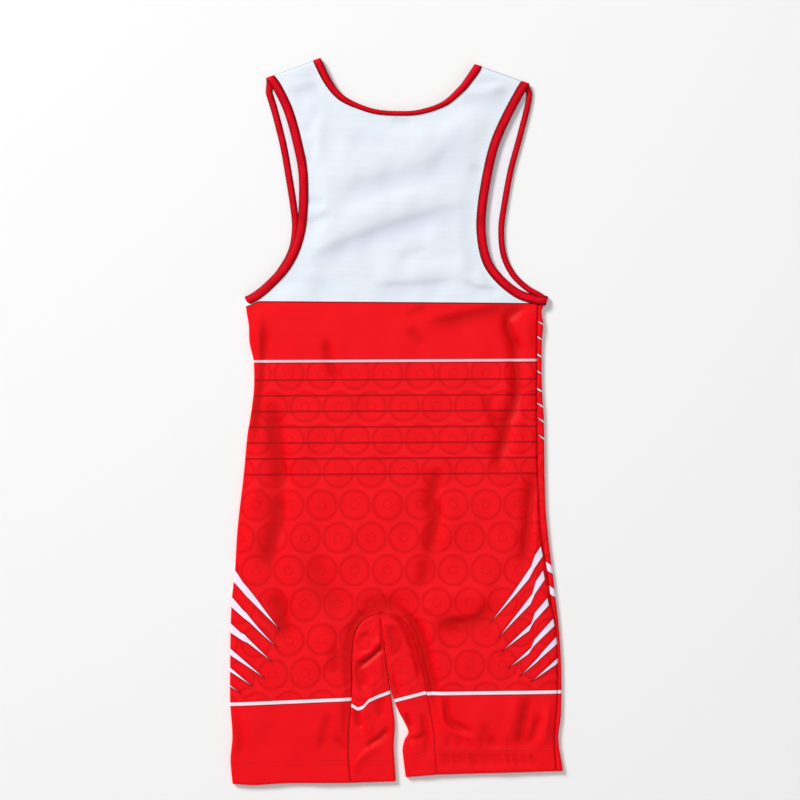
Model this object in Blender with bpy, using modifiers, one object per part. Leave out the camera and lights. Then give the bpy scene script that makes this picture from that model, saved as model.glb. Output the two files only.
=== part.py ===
"""A wrestling singlet laid flat on its front, with its back panel uppermost.

The garment is a flat tube of cloth with two short legs. Each cut piece is an open sheet of cloth with a
Solidify modifier: the front panel lies on the floor, the back panel lies over it, and the two inner leg
pieces fold over the inside of each leg. Three closed loops of folded tape bind the neck and the armholes.
All sizes below are in millimetres. X runs across the garment, Y towards the shoulders and Z up.
"""
import math
from collections import namedtuple

import bmesh
import bpy
from mathutils import Vector
from mathutils.kdtree import KDTree

MM = 0.001

# ---- cloth, seams and tape -----------------------------------------------------------------------
CLOTH = 1.0            # wall of the knitted cloth
SEAM_GAP = 0.3         # between two pieces at a seam
TAPE_WALL = 0.8        # one leg of the folded binding tape
TAPE_WIDTH = 9.0       # from the tape's fold to its sewn edge
TAPE_HALF = CLOTH / 2 + SEAM_GAP + TAPE_WALL
TURN_UP = 1.6          # from the hem's outer layer to its turned-up layer
HEM_DEPTH = 25.0

# ---- heights of the two layers, measured at the middle of the cloth ------------------------------
FRONT_Z = CLOTH / 2
FRONT_BOUND_Z = TAPE_HALF          # the front's edges rest on their own binding
BACK_Z = 4.4
BACK_BOUND_Z = 5.7                 # the back's edges pass over the front's binding
HEM_BACK_Z = 5.2                   # four layers of cloth at the hems
BOUND_REACH = 34.0                 # how far from a bound edge the cloth comes down again
TAPE_MARGIN = 3.0                  # level cloth past the tape's sewn edge
YOKE_RISE_FOOT = 70.0              # the back climbs to its bound edges from here
YOKE_RISE = 50.0                   # over this much height of the garment
HEM_RISE_TOP = -340.0              # the back climbs over the hems' layers from here
HEM_RISE = 45.0
SIDE_LEVEL = 8.0                   # level cloth inside a side fold
SIDE_RISE = 24.0                   # then the cloth swells over this width
ARCH_RISE = 16.0
SHOULDER_RISE = 30.0
FOLD_PROBE = 2.0                   # how far inside a fold its layers' heights are read

# ---- how finely the sheets are divided -----------------------------------------------------------
STRAP_SHARES = [0.0, 0.2, 0.5, 0.8, 1.0]
NECK_COLUMNS = 6                   # on each side of the centre
STRAP_ROWS = 2
YOKE_ROWS = 12
FIRST_YOKE_SHARE = 0.04            # of the way down, where the yoke's second row lies
BOUND_ROW = 12.0                   # the first row of cloth inside a bound edge, past its tape
BODY_ROWS = 11
LEG_ROWS = 9
MERGE = 0.01                       # points of two patches this near are one point

Point = namedtuple("Point", "x y")
Level = namedtuple("Level", "y x")
Fold = namedtuple("Fold", "x1 y1 x2 y2 width height")

# ---- outline of the garment, from the wearer's left to right -------------------------------------
# The back and the front share the shoulder corners, the armpits, both side folds and the leg arch. The
# second and the last but one point of a neckline, and the second of an armhole, are where its straps begin.
SHOULDER_LEFT = Point(-150.8, 398.0)
SHOULDER_RIGHT = Point(153.7, 391.5)
NECK_LEFT = Point(-88.7, 421.0)
NECK_RIGHT = Point(91.1, 414.0)
ARMPIT_LEFT = Point(-176.0, 144.0)
ARMPIT_RIGHT = Point(176.0, 144.0)
CROWN = Point(-19.1, -222.7)       # top of the arch between the legs

BACK_NECK = [NECK_LEFT, Point(-78.4, 398.7), Point(-69.2, 384.4), Point(-57.3, 374.0), Point(-37.8, 364.8),
             Point(-20.5, 360.2), Point(1.7, 358.7), Point(26.1, 360.2), Point(53.9, 370.0),
             Point(75.4, 389.8), NECK_RIGHT]
FRONT_NECK = [NECK_LEFT, Point(-81.0, 378.0), Point(-62.0, 338.0), Point(-28.0, 318.0), Point(1.7, 314.0),
              Point(31.0, 318.0), Point(63.0, 338.0), Point(83.0, 377.0), NECK_RIGHT]

BACK_ARMHOLE_LEFT = [SHOULDER_LEFT, Point(-143.3, 387.0), Point(-129.7, 358.9), Point(-118.9, 320.2),
                     Point(-112.5, 283.0), Point(-113.6, 234.3), Point(-120.1, 204.2), Point(-132.1, 181.0),
                     Point(-152.0, 159.5), Point(-165.0, 149.0), ARMPIT_LEFT]
FRONT_ARMHOLE_LEFT = [SHOULDER_LEFT, Point(-151.2, 381.0), Point(-144.4, 358.9), Point(-134.6, 320.2),
                      Point(-128.4, 285.7), Point(-122.4, 247.1), Point(-120.6, 222.7), Point(-125.0, 198.0),
                      Point(-138.0, 175.0), Point(-153.0, 158.5), Point(-165.0, 149.0), ARMPIT_LEFT]
BACK_ARMHOLE_RIGHT = [SHOULDER_RIGHT, Point(147.8, 381.5), Point(131.7, 351.5), Point(118.1, 320.2),
                      Point(109.6, 285.7), Point(103.5, 247.1), Point(102.7, 217.4), Point(108.5, 187.9),
                      Point(121.8, 168.5), Point(141.3, 152.5), Point(158.0, 146.0), ARMPIT_RIGHT]
FRONT_ARMHOLE_RIGHT = [SHOULDER_RIGHT, Point(157.0, 382.0), Point(154.9, 366.0), Point(145.0, 327.1),
                       Point(135.1, 290.6), Point(127.9, 251.7), Point(124.2, 222.7), Point(126.7, 194.0),
                       Point(137.0, 172.0), Point(153.0, 156.5), Point(166.0, 149.0), ARMPIT_RIGHT]

LEFT_FOLD = [Level(144.0, -176.0), Level(125.0, -173.7), Level(110.0, -171.2), Level(87.0, -169.0),
             Level(69.6, -165.6), Level(38.3, -165.5), Level(4.6, -169.6), Level(-15.1, -173.0),
             Level(-60.0, -177.2), Level(-125.0, -184.6), Level(-174.0, -187.7), Level(-211.0, -191.6),
             Level(-284.0, -193.2), Level(-327.0, -193.1), Level(-366.0, -190.6), Level(-393.0, -192.7),
             Level(-419.0, -190.5)]
RIGHT_FOLD = [Level(144.0, 176.0), Level(128.0, 168.5), Level(112.0, 170.4), Level(93.0, 168.8),
              Level(39.0, 168.8), Level(4.6, 171.0), Level(-52.0, 171.8), Level(-100.0, 173.1),
              Level(-142.0, 176.9), Level(-178.0, 181.5), Level(-207.0, 184.8), Level(-239.0, 188.5),
              Level(-282.0, 191.2), Level(-340.0, 191.0), Level(-369.0, 188.0), Level(-405.0, 193.2)]
RIGHT_SEAM = [Level(144.0, 165.0), Level(93.0, 163.4), Level(-33.0, 163.6), Level(-143.0, 168.4),
              Level(-183.0, 172.3), Level(-213.0, 176.6), Level(-240.0, 181.2), Level(-266.0, 183.8),
              Level(-405.0, 184.6)]

ARCH_LEFT = [CROWN, Point(-36.0, -229.7), Point(-45.8, -241.3), Point(-50.0, -255.8), Point(-51.6, -280.0),
             Point(-52.0, -318.0), Point(-55.1, -360.8), Point(-55.6, -393.0), Point(-53.0, -418.5)]
ARCH_RIGHT = [CROWN, Point(-3.0, -225.5), Point(8.5, -232.0), Point(15.7, -243.6), Point(21.0, -255.8),
              Point(29.1, -285.4), Point(35.0, -314.4), Point(42.8, -356.1), Point(45.0, -384.0),
              Point(46.6, -409.0)]
INNER_LEFT = [Point(-19.6, -228.5), Point(-17.0, -243.0), Point(-13.8, -262.0), Point(-9.6, -292.3),
              Point(-6.6, -316.0), Point(-4.3, -332.3), Point(-1.9, -351.5), Point(-3.2, -377.0),
              Point(-2.3, -393.2), Point(-0.8, -416.5)]
INNER_RIGHT = [Point(-18.5, -228.5), Point(-15.4, -243.0), Point(-12.4, -262.0), Point(-8.2, -292.3),
               Point(-4.6, -318.0), Point(1.7, -335.4), Point(8.4, -348.0), Point(13.8, -361.0),
               Point(9.4, -370.0), Point(7.0, -380.7), Point(7.9, -391.8), Point(10.5, -412.0)]
HEM_LEFT_Y = -419.0                # where the left leg's hem meets its side fold
HEM_RIGHT_Y = -405.0
CENTRE_LINE = [Level(420.0, 1.7), Level(144.0, 0.0), Level(CROWN.y, CROWN.x)]

# ---- the largest folds of the back panel: a ridge where height is over 0, a trough where it is und
BACK_FOLDS = [
    Fold(-76, 262, 40, 290, 26, -1.3),
    Fold(-88, 196, 70, 245, 30, -1.8),
    Fold(-80, 225, 66, 262, 30, 1.6),
    Fold(-27, 156, 98, 154, 24, -1.5),
    Fold(-60, 172, 90, 180, 26, 1.3),
    Fold(129, 116, 146, 84, 22, -1.5),
    Fold(128, 56, 116, -88, 24, -1.3),
    Fold(152, -76, 166, -160, 20, 1.2),
    Fold(40, -40, 36, -150, 30, -1.2),
    Fold(-140, -20, -146, -210, 28, -1.5),
    Fold(-120, -30, -122, -230, 28, 1.4),
    Fold(-154, 62, -166, -28, 18, 1.0),
    Fold(60, -322, 66, -360, 24, 1.4),
    Fold(90, -320, 104, -380, 26, -1.2),
    Fold(136, -330, 150, -384, 26, 1.1),
]
BODY_SWELL = 1.6                   # how far the middle of the back stands over its folded edges


# ---- curves and heights --------------------------------------------------------------------------
def smooth_step(value):
    value = min(1.0, max(0.0, value))
    return value * value * (3 - 2 * value)


def mix(a, b, share):
    return a + (b - a) * share


def at_height(levels, y):
    """The x of an outline given by its levels, on a smooth curve through them."""
    levels = sorted(levels)
    y = min(levels[-1].y, max(levels[0].y, y))
    index = max(i for i in range(len(levels) - 1) if levels[i].y <= y)
    low, high = levels[index], levels[index + 1]
    slopes = []
    for i in (index, index + 1):
        before, after = levels[max(0, i - 1)], levels[min(len(levels) - 1, i + 1)]
        slopes.append((after.x - before.x) / (after.y - before.y))
    span = high.y - low.y
    t = (y - low.y) / span
    return ((2 * t**3 - 3 * t**2 + 1) * low.x + (t**3 - 2 * t**2 + t) * span * slopes[0]
            + (3 * t**2 - 2 * t**3) * high.x + (t**3 - t**2) * span * slopes[1])


def fine_curve(points, steps=12):
    """A Catmull-Rom curve through the points."""
    fine = []
    for i in range(len(points) - 1):
        before, start = points[max(0, i - 1)], points[i]
        end, after = points[i + 1], points[min(len(points) - 1, i + 2)]
        for step in range(steps):
            t = step / steps
            fine.append(Point(*(0.5 * (2 * b + (c - a) * t + (2 * a - 5 * b + 4 * c - d) * t**2
                                       + (3 * b - a - 3 * c + d) * t**3)
                                for a, b, c, d in zip(before, start, end, after))))
    return fine + [Point(*points[-1])]


def along_curve(points, shares):
    """The curve's points at these shares of its length."""
    fine = fine_curve(points)
    lengths = [0.0]
    for a, b in zip(fine, fine[1:]):
        lengths.append(lengths[-1] + math.hypot(b.x - a.x, b.y - a.y))
    found = []
    for share in shares:
        goal = lengths[-1] * share
        i = max(j for j in range(len(fine) - 1) if lengths[j] <= goal)
        part = (goal - lengths[i]) / (lengths[i + 1] - lengths[i])
        found.append(Point(mix(fine[i].x, fine[i + 1].x, part), mix(fine[i].y, fine[i + 1].y, part)))
    return found


def steps(count):
    return [i / count for i in range(count + 1)]


def line_position(x, y, x1, y1, x2, y2):
    """The distance to a straight line between two ends."""
    along_x, along_y = x2 - x1, y2 - y1
    share = ((x - x1) * along_x + (y - y1) * along_y) / (along_x**2 + along_y**2)
    share = min(1.0, max(0.0, share))
    return math.hypot(x - x1 - along_x * share, y - y1 - along_y * share)


def distance_to(x, y, points):
    return min(line_position(x, y, a.x, a.y, b.x, b.y) for a, b in zip(points, points[1:]))


def near_bound_edge(x, y, edges):
    """1 under the tape of a bound edge, and 0 from BOUND_REACH on."""
    flat = TAPE_WIDTH + TAPE_MARGIN
    near = min(distance_to(x, y, edge) for edge in edges)
    return 1 - smooth_step((near - flat) / (BOUND_REACH - flat))


def inside_panel(x, y):
    """0 at the side folds, the leg arch and the shoulders, and 1 well inside the panel."""
    side = min(x - at_height(LEFT_FOLD, y), at_height(RIGHT_FOLD, y) - x)
    arch = distance_to(x, y, ARCH_LEFT + ARCH_RIGHT[1:])
    if y > ARMPIT_LEFT.y:
        side = SIDE_LEVEL + SIDE_RISE
    shoulder = min(distance_to(x, y, [SHOULDER_LEFT, NECK_LEFT]),
                   distance_to(x, y, [SHOULDER_RIGHT, NECK_RIGHT]))
    swell = smooth_step((side - SIDE_LEVEL) / SIDE_RISE)
    return swell * smooth_step(arch / ARCH_RISE) * smooth_step(shoulder / SHOULDER_RISE)


def near_hem(y):
    return smooth_step((HEM_RISE_TOP - y) / HEM_RISE)


def fold_height(x, y, folds):
    total = 0.0
    for fold in folds:
        away = line_position(x, y, fold.x1, fold.y1, fold.x2, fold.y2) / (fold.width / 2)
        total += fold.height * math.exp(-away * away)
    return total


BACK_EDGES = [BACK_NECK, BACK_ARMHOLE_LEFT, BACK_ARMHOLE_RIGHT]
FRONT_EDGES = [FRONT_NECK, FRONT_ARMHOLE_LEFT, FRONT_ARMHOLE_RIGHT]


def front_z(x, y):
    return mix(FRONT_Z, FRONT_BOUND_Z, near_bound_edge(x, y, FRONT_EDGES))


def back_level(y):
    level = mix(BACK_Z, BACK_BOUND_Z, smooth_step((y - YOKE_RISE_FOOT) / YOKE_RISE))
    return mix(level, HEM_BACK_Z, near_hem(y))


def back_z(x, y):
    loose = (1 - near_bound_edge(x, y, BACK_EDGES)) * inside_panel(x, y) * (1 - near_hem(y))
    return back_level(y) + loose * (BODY_SWELL + fold_height(x, y, BACK_FOLDS))


def fold_radius(x, y):
    return (back_z(x, y) - front_z(x, y)) / 2


def arc(base, outward, high, low, turn, inset):
    """The cloth's way round a fold, between the heights of its two layers.

    The turn is 90 degrees where the fold leaves the back, 0 at its outermost line and -90 at the front. One
    that ends at 0 stops short of it by half of SEAM_GAP, because the back and the front are sewn there.
    """
    radius = (high - low) / 2 - inset
    end = turn.end
    if end == 0:
        end = math.copysign(math.degrees(math.asin(SEAM_GAP / 2 / (radius - CLOTH / 2))), turn.start)
    row = []
    for share in steps(turn.count):
        angle = math.radians(mix(turn.start, end, share))
        reach, rise = radius * math.cos(angle), radius * math.sin(angle)
        row.append((base.x + outward[0] * reach, base.y + outward[1] * reach, (high + low) / 2 + rise))
    return row


def strip(bases, outward, turn, inset=0.0):
    """A fold's rows, one for each base: the place inside the fold where the cloth starts to turn."""
    return [arc(base, outward, back_z(base.x, base.y), front_z(base.x, base.y), turn, inset)
            for base in bases]


# ---- plan of the panels --------------------------------------------------------------------------
STRAP_COLUMNS = len(STRAP_SHARES) - 1
COLUMNS = 2 * (STRAP_COLUMNS + NECK_COLUMNS)
CENTRE = COLUMNS // 2
Turn = namedtuple("Turn", "start end count")     # degrees, see strip()
BACK_TURN = Turn(90, 0, 3)
FRONT_TURN = Turn(-90, 0, 3)
WHOLE_TURN = Turn(90, -90, 5)
LEFT, RIGHT = (-1, 0), (1, 0)


def left_base(y):
    """Where the left side fold begins, inside its outermost line."""
    outermost = at_height(LEFT_FOLD, y)
    return Point(outermost + CLOTH / 2 + fold_radius(outermost + FOLD_PROBE, y), y)


def right_base(y):
    outermost = at_height(RIGHT_FOLD, y)
    return Point(outermost - CLOTH / 2 - fold_radius(outermost - FOLD_PROBE, y), y)


def shoulder_outward(corner, neck):
    run_x, run_y = neck.x - corner.x, neck.y - corner.y
    length = math.hypot(run_x, run_y)
    return (-run_y / length, run_x / length) if run_x > 0 else (run_y / length, -run_x / length)


def strap_end(corner, neck):
    """The strap's end row, from its armhole corner to its neck corner, inside the fold over the shoulder."""
    out = shoulder_outward(corner, neck)
    row = []
    for share in STRAP_SHARES:
        x, y = mix(corner.x, neck.x, share), mix(corner.y, neck.y, share)
        back = CLOTH / 2 + fold_radius(x - out[0] * FOLD_PROBE, y - out[1] * FOLD_PROBE)
        row.append(Point(x - out[0] * back, y - out[1] * back))
    return row


STRAP_END_LEFT = strap_end(SHOULDER_LEFT, NECK_LEFT)
STRAP_END_RIGHT = strap_end(SHOULDER_RIGHT, NECK_RIGHT)    # both run from the armhole to the neck


YOKE_SHARES = [0.0] + [mix(FIRST_YOKE_SHARE, 1.0, share) for share in steps(YOKE_ROWS - 1)]


def body_columns(left_x, right_x, centre_x):
    return ([mix(left_x, centre_x, share) for share in steps(CENTRE)]
            + [mix(centre_x, right_x, share) for share in steps(CENTRE)[1:]])


def between(a, b, share):
    return Point(mix(a.x, b.x, share), mix(a.y, b.y, share))


def yoke_rows(armhole_left, armhole_right, neck, left_x, right_x):
    """Rows from the foot of the straps and the neckline down to the armpits. The last row is straight."""
    y0 = ARMPIT_LEFT.y
    left_edge = along_curve(armhole_left[1:-1] + [Point(left_x, y0)], YOKE_SHARES)
    right_edge = along_curve(armhole_right[1:-1] + [Point(right_x, y0)], YOKE_SHARES)
    neckline = along_curve(neck[1:-1], steps(2 * NECK_COLUMNS))
    top = ([between(left_edge[0], neckline[0], share) for share in STRAP_SHARES[:-1]] + neckline
           + [between(right_edge[0], neckline[-1], share) for share in STRAP_SHARES[-2::-1]])
    bottom = body_columns(left_x, right_x, at_height(CENTRE_LINE, y0))
    rows = []
    for a, b in zip(left_edge, right_edge):
        rises = [mix((a.y - y0) / (top[0].y - y0), (b.y - y0) / (top[-1].y - y0), j / COLUMNS)
                 for j in range(COLUMNS + 1)]
        xs = [mix(low, high.x, rise) for low, high, rise in zip(bottom, top, rises)]
        for j, share in enumerate(STRAP_SHARES[:-1]):
            share = mix(j / STRAP_COLUMNS, share, rises[j])
            xs[j] = mix(a.x, xs[STRAP_COLUMNS], share)
            xs[-1 - j] = mix(b.x, xs[-1 - STRAP_COLUMNS], share)
        rows.append([Point(x, mix(y0, high.y, rise)) for x, high, rise in zip(xs, top, rises)])
    return rows


def strap_rows(end, foot):
    """A strap's rows, from where it folds over the shoulder down to its foot."""
    return [[between(a, b, share) for a, b in zip(end, foot)] for share in steps(STRAP_ROWS)]


def body_rows(left_at, right_at):
    """Rows from the armpits down to the top of the leg arch."""
    rows = []
    top = ARMPIT_LEFT.y
    for y in [top] + [mix(top - BOUND_ROW, CROWN.y, share) for share in steps(BODY_ROWS - 1)]:
        rows.append([Point(x, y) for x in body_columns(left_at(y), right_at(y), at_height(CENTRE_LINE, y))])
    return rows


def leg_row(share, arch, hem_y, side_at):
    """One row of a leg, from its side to the arch between the legs; share is 0 at the crown, 1 at the hem."""
    y = mix(CROWN.y, hem_y, share)
    side = Point(side_at(y), y)
    end = along_curve(arch, [share])[0]
    return [Point(mix(side.x, end.x, part), mix(side.y, end.y, part)) for part in steps(CENTRE)]


def hem_share(arch, up):
    """The share of the leg at this height above its hem."""
    length = CROWN.y - arch[-1].y
    return 1 - up / length


# ---- making the sheets ---------------------------------------------------------------------------
def new_object(name, mesh, colour, roughness):
    mesh.materials.append(material(name, colour, roughness))
    obj = bpy.data.objects.new(name, mesh)
    COLLECTION.objects.link(obj)
    return obj


def material(name, colour, roughness):
    made = bpy.data.materials.new(name)
    made.use_nodes = True
    shader = made.node_tree.nodes["Principled BSDF"]
    shader.inputs["Base Color"].default_value = (*colour, 1)
    shader.inputs["Roughness"].default_value = roughness
    shader.inputs["Metallic"].default_value = 0
    made.diffuse_color = (*colour, 1)
    return made


CLOTH_POINTS = []                               # (point, normal) of each sheet made so far


def sheet(name, patches, colour, even_wall=True):
    """A piece of cloth: its patches of points are joined at their shared edges, then given a wall."""
    bm = bmesh.new()
    for rows in patches:
        grid = [[bm.verts.new([value * MM for value in point]) for point in row] for row in rows]
        for upper, lower in zip(grid, grid[1:]):
            for j in range(len(upper) - 1):
                bm.faces.new((upper[j], lower[j], lower[j + 1], upper[j + 1]))
    bmesh.ops.remove_doubles(bm, verts=bm.verts, dist=MERGE * MM)
    bmesh.ops.recalc_face_normals(bm, faces=bm.faces)
    mesh = bpy.data.meshes.new(name)
    bm.to_mesh(mesh)
    bm.free()
    obj = new_object(name, mesh, colour, CLOTH_ROUGHNESS)
    CLOTH_POINTS.extend((vertex.co / MM, vertex.normal.copy()) for vertex in mesh.vertices)
    wall = obj.modifiers.new("wall", "SOLIDIFY")
    wall.thickness = CLOTH * MM
    wall.offset = 0
    wall.use_even_offset = even_wall
    return obj


def on_back(rows, inset=0.0):
    return [[(p.x, p.y, back_z(p.x, p.y) - inset) for p in row] for row in rows]


def on_front(rows, inset=0.0):
    return [[(p.x, p.y, front_z(p.x, p.y) + inset) for p in row] for row in rows]


def turned_up(make_row, far_share):
    """The hem: the cloth goes under itself by half a turn and runs back up inside the leg."""
    def lowered(row):
        return [(x, y - TURN_UP / 2, z) for x, y, z in row]
    return [make_row(1.0, 0.0), lowered(make_row(1.0, TURN_UP / 2)), make_row(1.0, TURN_UP),
            make_row(far_share, TURN_UP)]


# ---- the panels ----------------------------------------------------------------------------------
ARMPIT_SHARE = 0.5                              # of SEAM_GAP, on each side of the right seam
LEG_SHARES = steps(LEG_ROWS)


def back_side(y):
    return at_height(RIGHT_SEAM, y) - SEAM_GAP * ARMPIT_SHARE


def front_side(y):
    return right_base(y).x


def left_side(y):
    return left_base(y).x


def panel(side_at, armhole_left, armhole_right, neck, put, turn):
    """The patches and the edge grids that the back and the front share."""
    yoke = yoke_rows(armhole_left, armhole_right, neck, left_side(ARMPIT_LEFT.y), side_at(ARMPIT_LEFT.y))
    body = body_rows(left_side, side_at)
    upper_left = put(strap_rows(STRAP_END_LEFT, yoke[0][:STRAP_COLUMNS + 1]))
    upper_right = put(strap_rows(STRAP_END_RIGHT, yoke[0][:-2 - STRAP_COLUMNS:-1]))

    def left_leg(share, inset=0.0):
        return put([leg_row(share, ARCH_LEFT, HEM_LEFT_Y, left_side)], inset)[0]

    def right_leg(share, inset=0.0):
        return put([leg_row(share, ARCH_RIGHT, HEM_RIGHT_Y, side_at)], inset)[0]

    def left_leg_side(share, inset=0.0):
        base = left_base(mix(CROWN.y, HEM_LEFT_Y, share))
        return strip([base], LEFT, turn, inset)[0]

    out_left = shoulder_outward(SHOULDER_LEFT, NECK_LEFT)
    out_right = shoulder_outward(SHOULDER_RIGHT, NECK_RIGHT)
    body_side = [strip([left_base(row[0].y)], LEFT, turn)[0] for row in body]
    strap_left = strip(STRAP_END_LEFT, out_left, turn)
    strap_right = strip(STRAP_END_RIGHT, out_right, turn)
    far_left, far_right = hem_share(ARCH_LEFT, HEM_DEPTH), hem_share(ARCH_RIGHT, HEM_DEPTH)
    patches = [upper_left, upper_right, put(yoke), put(body), body_side, strap_left, strap_right,
               [left_leg(share) for share in LEG_SHARES], [right_leg(share) for share in LEG_SHARES],
               [left_leg_side(share) for share in LEG_SHARES],
               turned_up(left_leg, far_left), turned_up(right_leg, far_right),
               turned_up(left_leg_side, far_left)]
    edges = {"yoke": put(yoke), "body": put(body), "left": body_side,
             "strap_left": strap_left, "strap_right": strap_right,
             "upper_left": upper_left, "upper_right": upper_right}
    return patches, edges


def front_wrap_row(y, inset=0.0):
    """The front's cloth round the right side fold and on to its seam on the upper face."""
    base = right_base(y)
    seam_x = at_height(RIGHT_SEAM, y) + SEAM_GAP * ARMPIT_SHARE
    row = strip([base], RIGHT, WHOLE_TURN, inset)[0]
    return [(seam_x, y, back_z(base.x, y) - inset)] + row


def make_back():
    patches, edges = panel(back_side, BACK_ARMHOLE_LEFT, BACK_ARMHOLE_RIGHT, BACK_NECK, on_back, BACK_TURN)
    sheet("back_panel", patches, RED)
    return edges


def make_front():
    patches, edges = panel(front_side, FRONT_ARMHOLE_LEFT, FRONT_ARMHOLE_RIGHT, FRONT_NECK, on_front,
                           FRONT_TURN)
    body_wrap = [front_wrap_row(row[0][1]) for row in edges["body"]]

    def leg_wrap(share, inset=0.0):
        return front_wrap_row(mix(CROWN.y, HEM_RIGHT_Y, share), inset)

    patches += [body_wrap, [leg_wrap(share) for share in LEG_SHARES],
                turned_up(leg_wrap, hem_share(ARCH_RIGHT, HEM_DEPTH))]
    sheet("front_panel", patches, RED)
    edges["right"] = body_wrap
    return edges


# ---- the inner leg pieces ------------------------------------------------------------------------
LIP_SHARES = [0.0, 0.5, 1.0]


def into_arch(arch, side):
    """The arch's seam line moved SEAM_GAP into the arch; side is -1 for its left half."""
    points = along_curve(arch, LEG_SHARES)
    moved = []
    for i, point in enumerate(points):
        before, after = points[max(0, i - 1)], points[min(len(points) - 1, i + 1)]
        run_x, run_y = after.x - before.x, after.y - before.y
        length = math.hypot(run_x, run_y)
        shift = side * SEAM_GAP / length
        moved.append(Point(point.x + run_y * shift, point.y - run_x * shift))
    first = Point(CROWN.x + side * SEAM_GAP / 2, CROWN.y - SEAM_GAP)
    return [first] + moved[1:]


def inner_leg_row(start, fold, inset=0.0):
    """From the arch seam on the back, over the inside of the leg, to the arch seam on the front."""
    run_x, run_y = fold.x - start.x, fold.y - start.y
    length = math.hypot(run_x, run_y)
    out = (run_x / length, run_y / length)
    high, low = back_level(start.y), FRONT_Z
    radius = (high - low) / 2
    reach = length - radius - CLOTH / 2
    lip = [(start.x + out[0] * reach * share, start.y + out[1] * reach * share) for share in LIP_SHARES]
    top = [(x, y, high - inset) for x, y in lip[:-1]]
    under = [(x, y, low + inset) for x, y in lip[-2::-1]]
    return top + arc(Point(*lip[-1]), out, high, low, WHOLE_TURN, inset) + under


def make_inner_leg(name, arch, inner, side):
    starts = into_arch(arch, side)
    folds = along_curve(inner, LEG_SHARES)
    rows = [inner_leg_row(start, fold) for start, fold in zip(starts, folds)]
    far_share = hem_share(arch, HEM_DEPTH)
    last = len(LEG_SHARES) - 1

    def row_at(share, inset=0.0):
        place = share * last
        i = min(last - 1, int(place))
        part = place - i
        start = Point(mix(starts[i].x, starts[i + 1].x, part), mix(starts[i].y, starts[i + 1].y, part))
        fold = Point(mix(folds[i].x, folds[i + 1].x, part), mix(folds[i].y, folds[i + 1].y, part))
        return inner_leg_row(start, fold, inset)

    sheet(name, [rows, turned_up(row_at, far_share)], RED, even_wall=False)


# ---- the bindings --------------------------------------------------------------------------------
SLOT_HALF = CLOTH / 2 + SEAM_GAP
TAPE_PROFILE = [                                # out from the cloth's edge, up from the middle of the cloth
    (SEAM_GAP + TAPE_WALL - TAPE_WIDTH, TAPE_HALF), (SEAM_GAP, TAPE_HALF), (SEAM_GAP + TAPE_WALL, 0.0),
    (SEAM_GAP, -TAPE_HALF), (SEAM_GAP + TAPE_WALL - TAPE_WIDTH, -TAPE_HALF),
    (SEAM_GAP + TAPE_WALL - TAPE_WIDTH, -SLOT_HALF), (SEAM_GAP, -SLOT_HALF),
    (SEAM_GAP, SLOT_HALF), (SEAM_GAP + TAPE_WALL - TAPE_WIDTH, SLOT_HALF),
]


def binding(name, path):
    """A folded tape along a closed path of edge points, each with its neighbour inside the cloth."""
    points = [Vector(edge.point) for edge in path]
    nearest = KDTree(len(CLOTH_POINTS))
    for i, (point, _) in enumerate(CLOTH_POINTS):
        nearest.insert(point, i)
    nearest.balance()
    rings = []
    count = len(points)
    for i in range(count):
        before = (points[i] - points[i - 1]).normalized()
        after = (points[(i + 1) % count] - points[i]).normalized()
        along = (before + after).normalized()
        normal = CLOTH_POINTS[nearest.find(points[i])[1]][1]
        from_inner = (points[i] - Vector(path[i].inner)).normalized()
        out = along.cross(normal).normalized()
        if out.dot(from_inner) < 0:
            out = -out
        up = along.cross(out)
        if path[i].on_fold:
            out = from_inner
        rings.append([points[i] + out * n + up * m for n, m in TAPE_PROFILE])
    bm = bmesh.new()
    made = [[bm.verts.new(point * MM) for point in ring] for ring in rings]
    for ring, following in zip(made, made[1:] + made[:1]):
        for k in range(len(ring)):
            after = (k + 1) % len(ring)
            bm.faces.new((ring[k], ring[after], following[after], following[k]))
    bmesh.ops.recalc_face_normals(bm, faces=bm.faces)
    mesh = bpy.data.meshes.new(name)
    bm.to_mesh(mesh)
    bm.free()
    return new_object(name, mesh, BINDING_RED, TAPE_ROUGHNESS)


EdgePoint = namedtuple("EdgePoint", "point inner on_fold")


def column(grid, j, inward):
    """A grid's side edge."""
    return [EdgePoint(row[j], row[j + inward], False) for row in grid]


def neck_edge(grid):
    """The neckline, paired with points that lie down and away from its middle."""
    path = []
    for j in range(STRAP_COLUMNS, COLUMNS - STRAP_COLUMNS + 1):
        away = -1 if j < CENTRE else 1
        path.append(EdgePoint(grid[0][j], grid[1][j + away], False))
    return path


def fold_end(grid, i, inward):
    """The end of a fold's strip, where the tape follows the fold's own line into the cloth."""
    return [EdgePoint(point, inner, True) for point, inner in zip(grid[i], grid[i + inward])]


def joined(*runs):
    """The runs put end to end, without the points that two runs share."""
    path = []
    for run in runs:
        for edge in run:
            if path and (Vector(edge.point) - Vector(path[-1].point)).length < SEAM_GAP / 4:
                path[-1] = edge if edge.on_fold else path[-1]
            else:
                path.append(edge)
    return path


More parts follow.
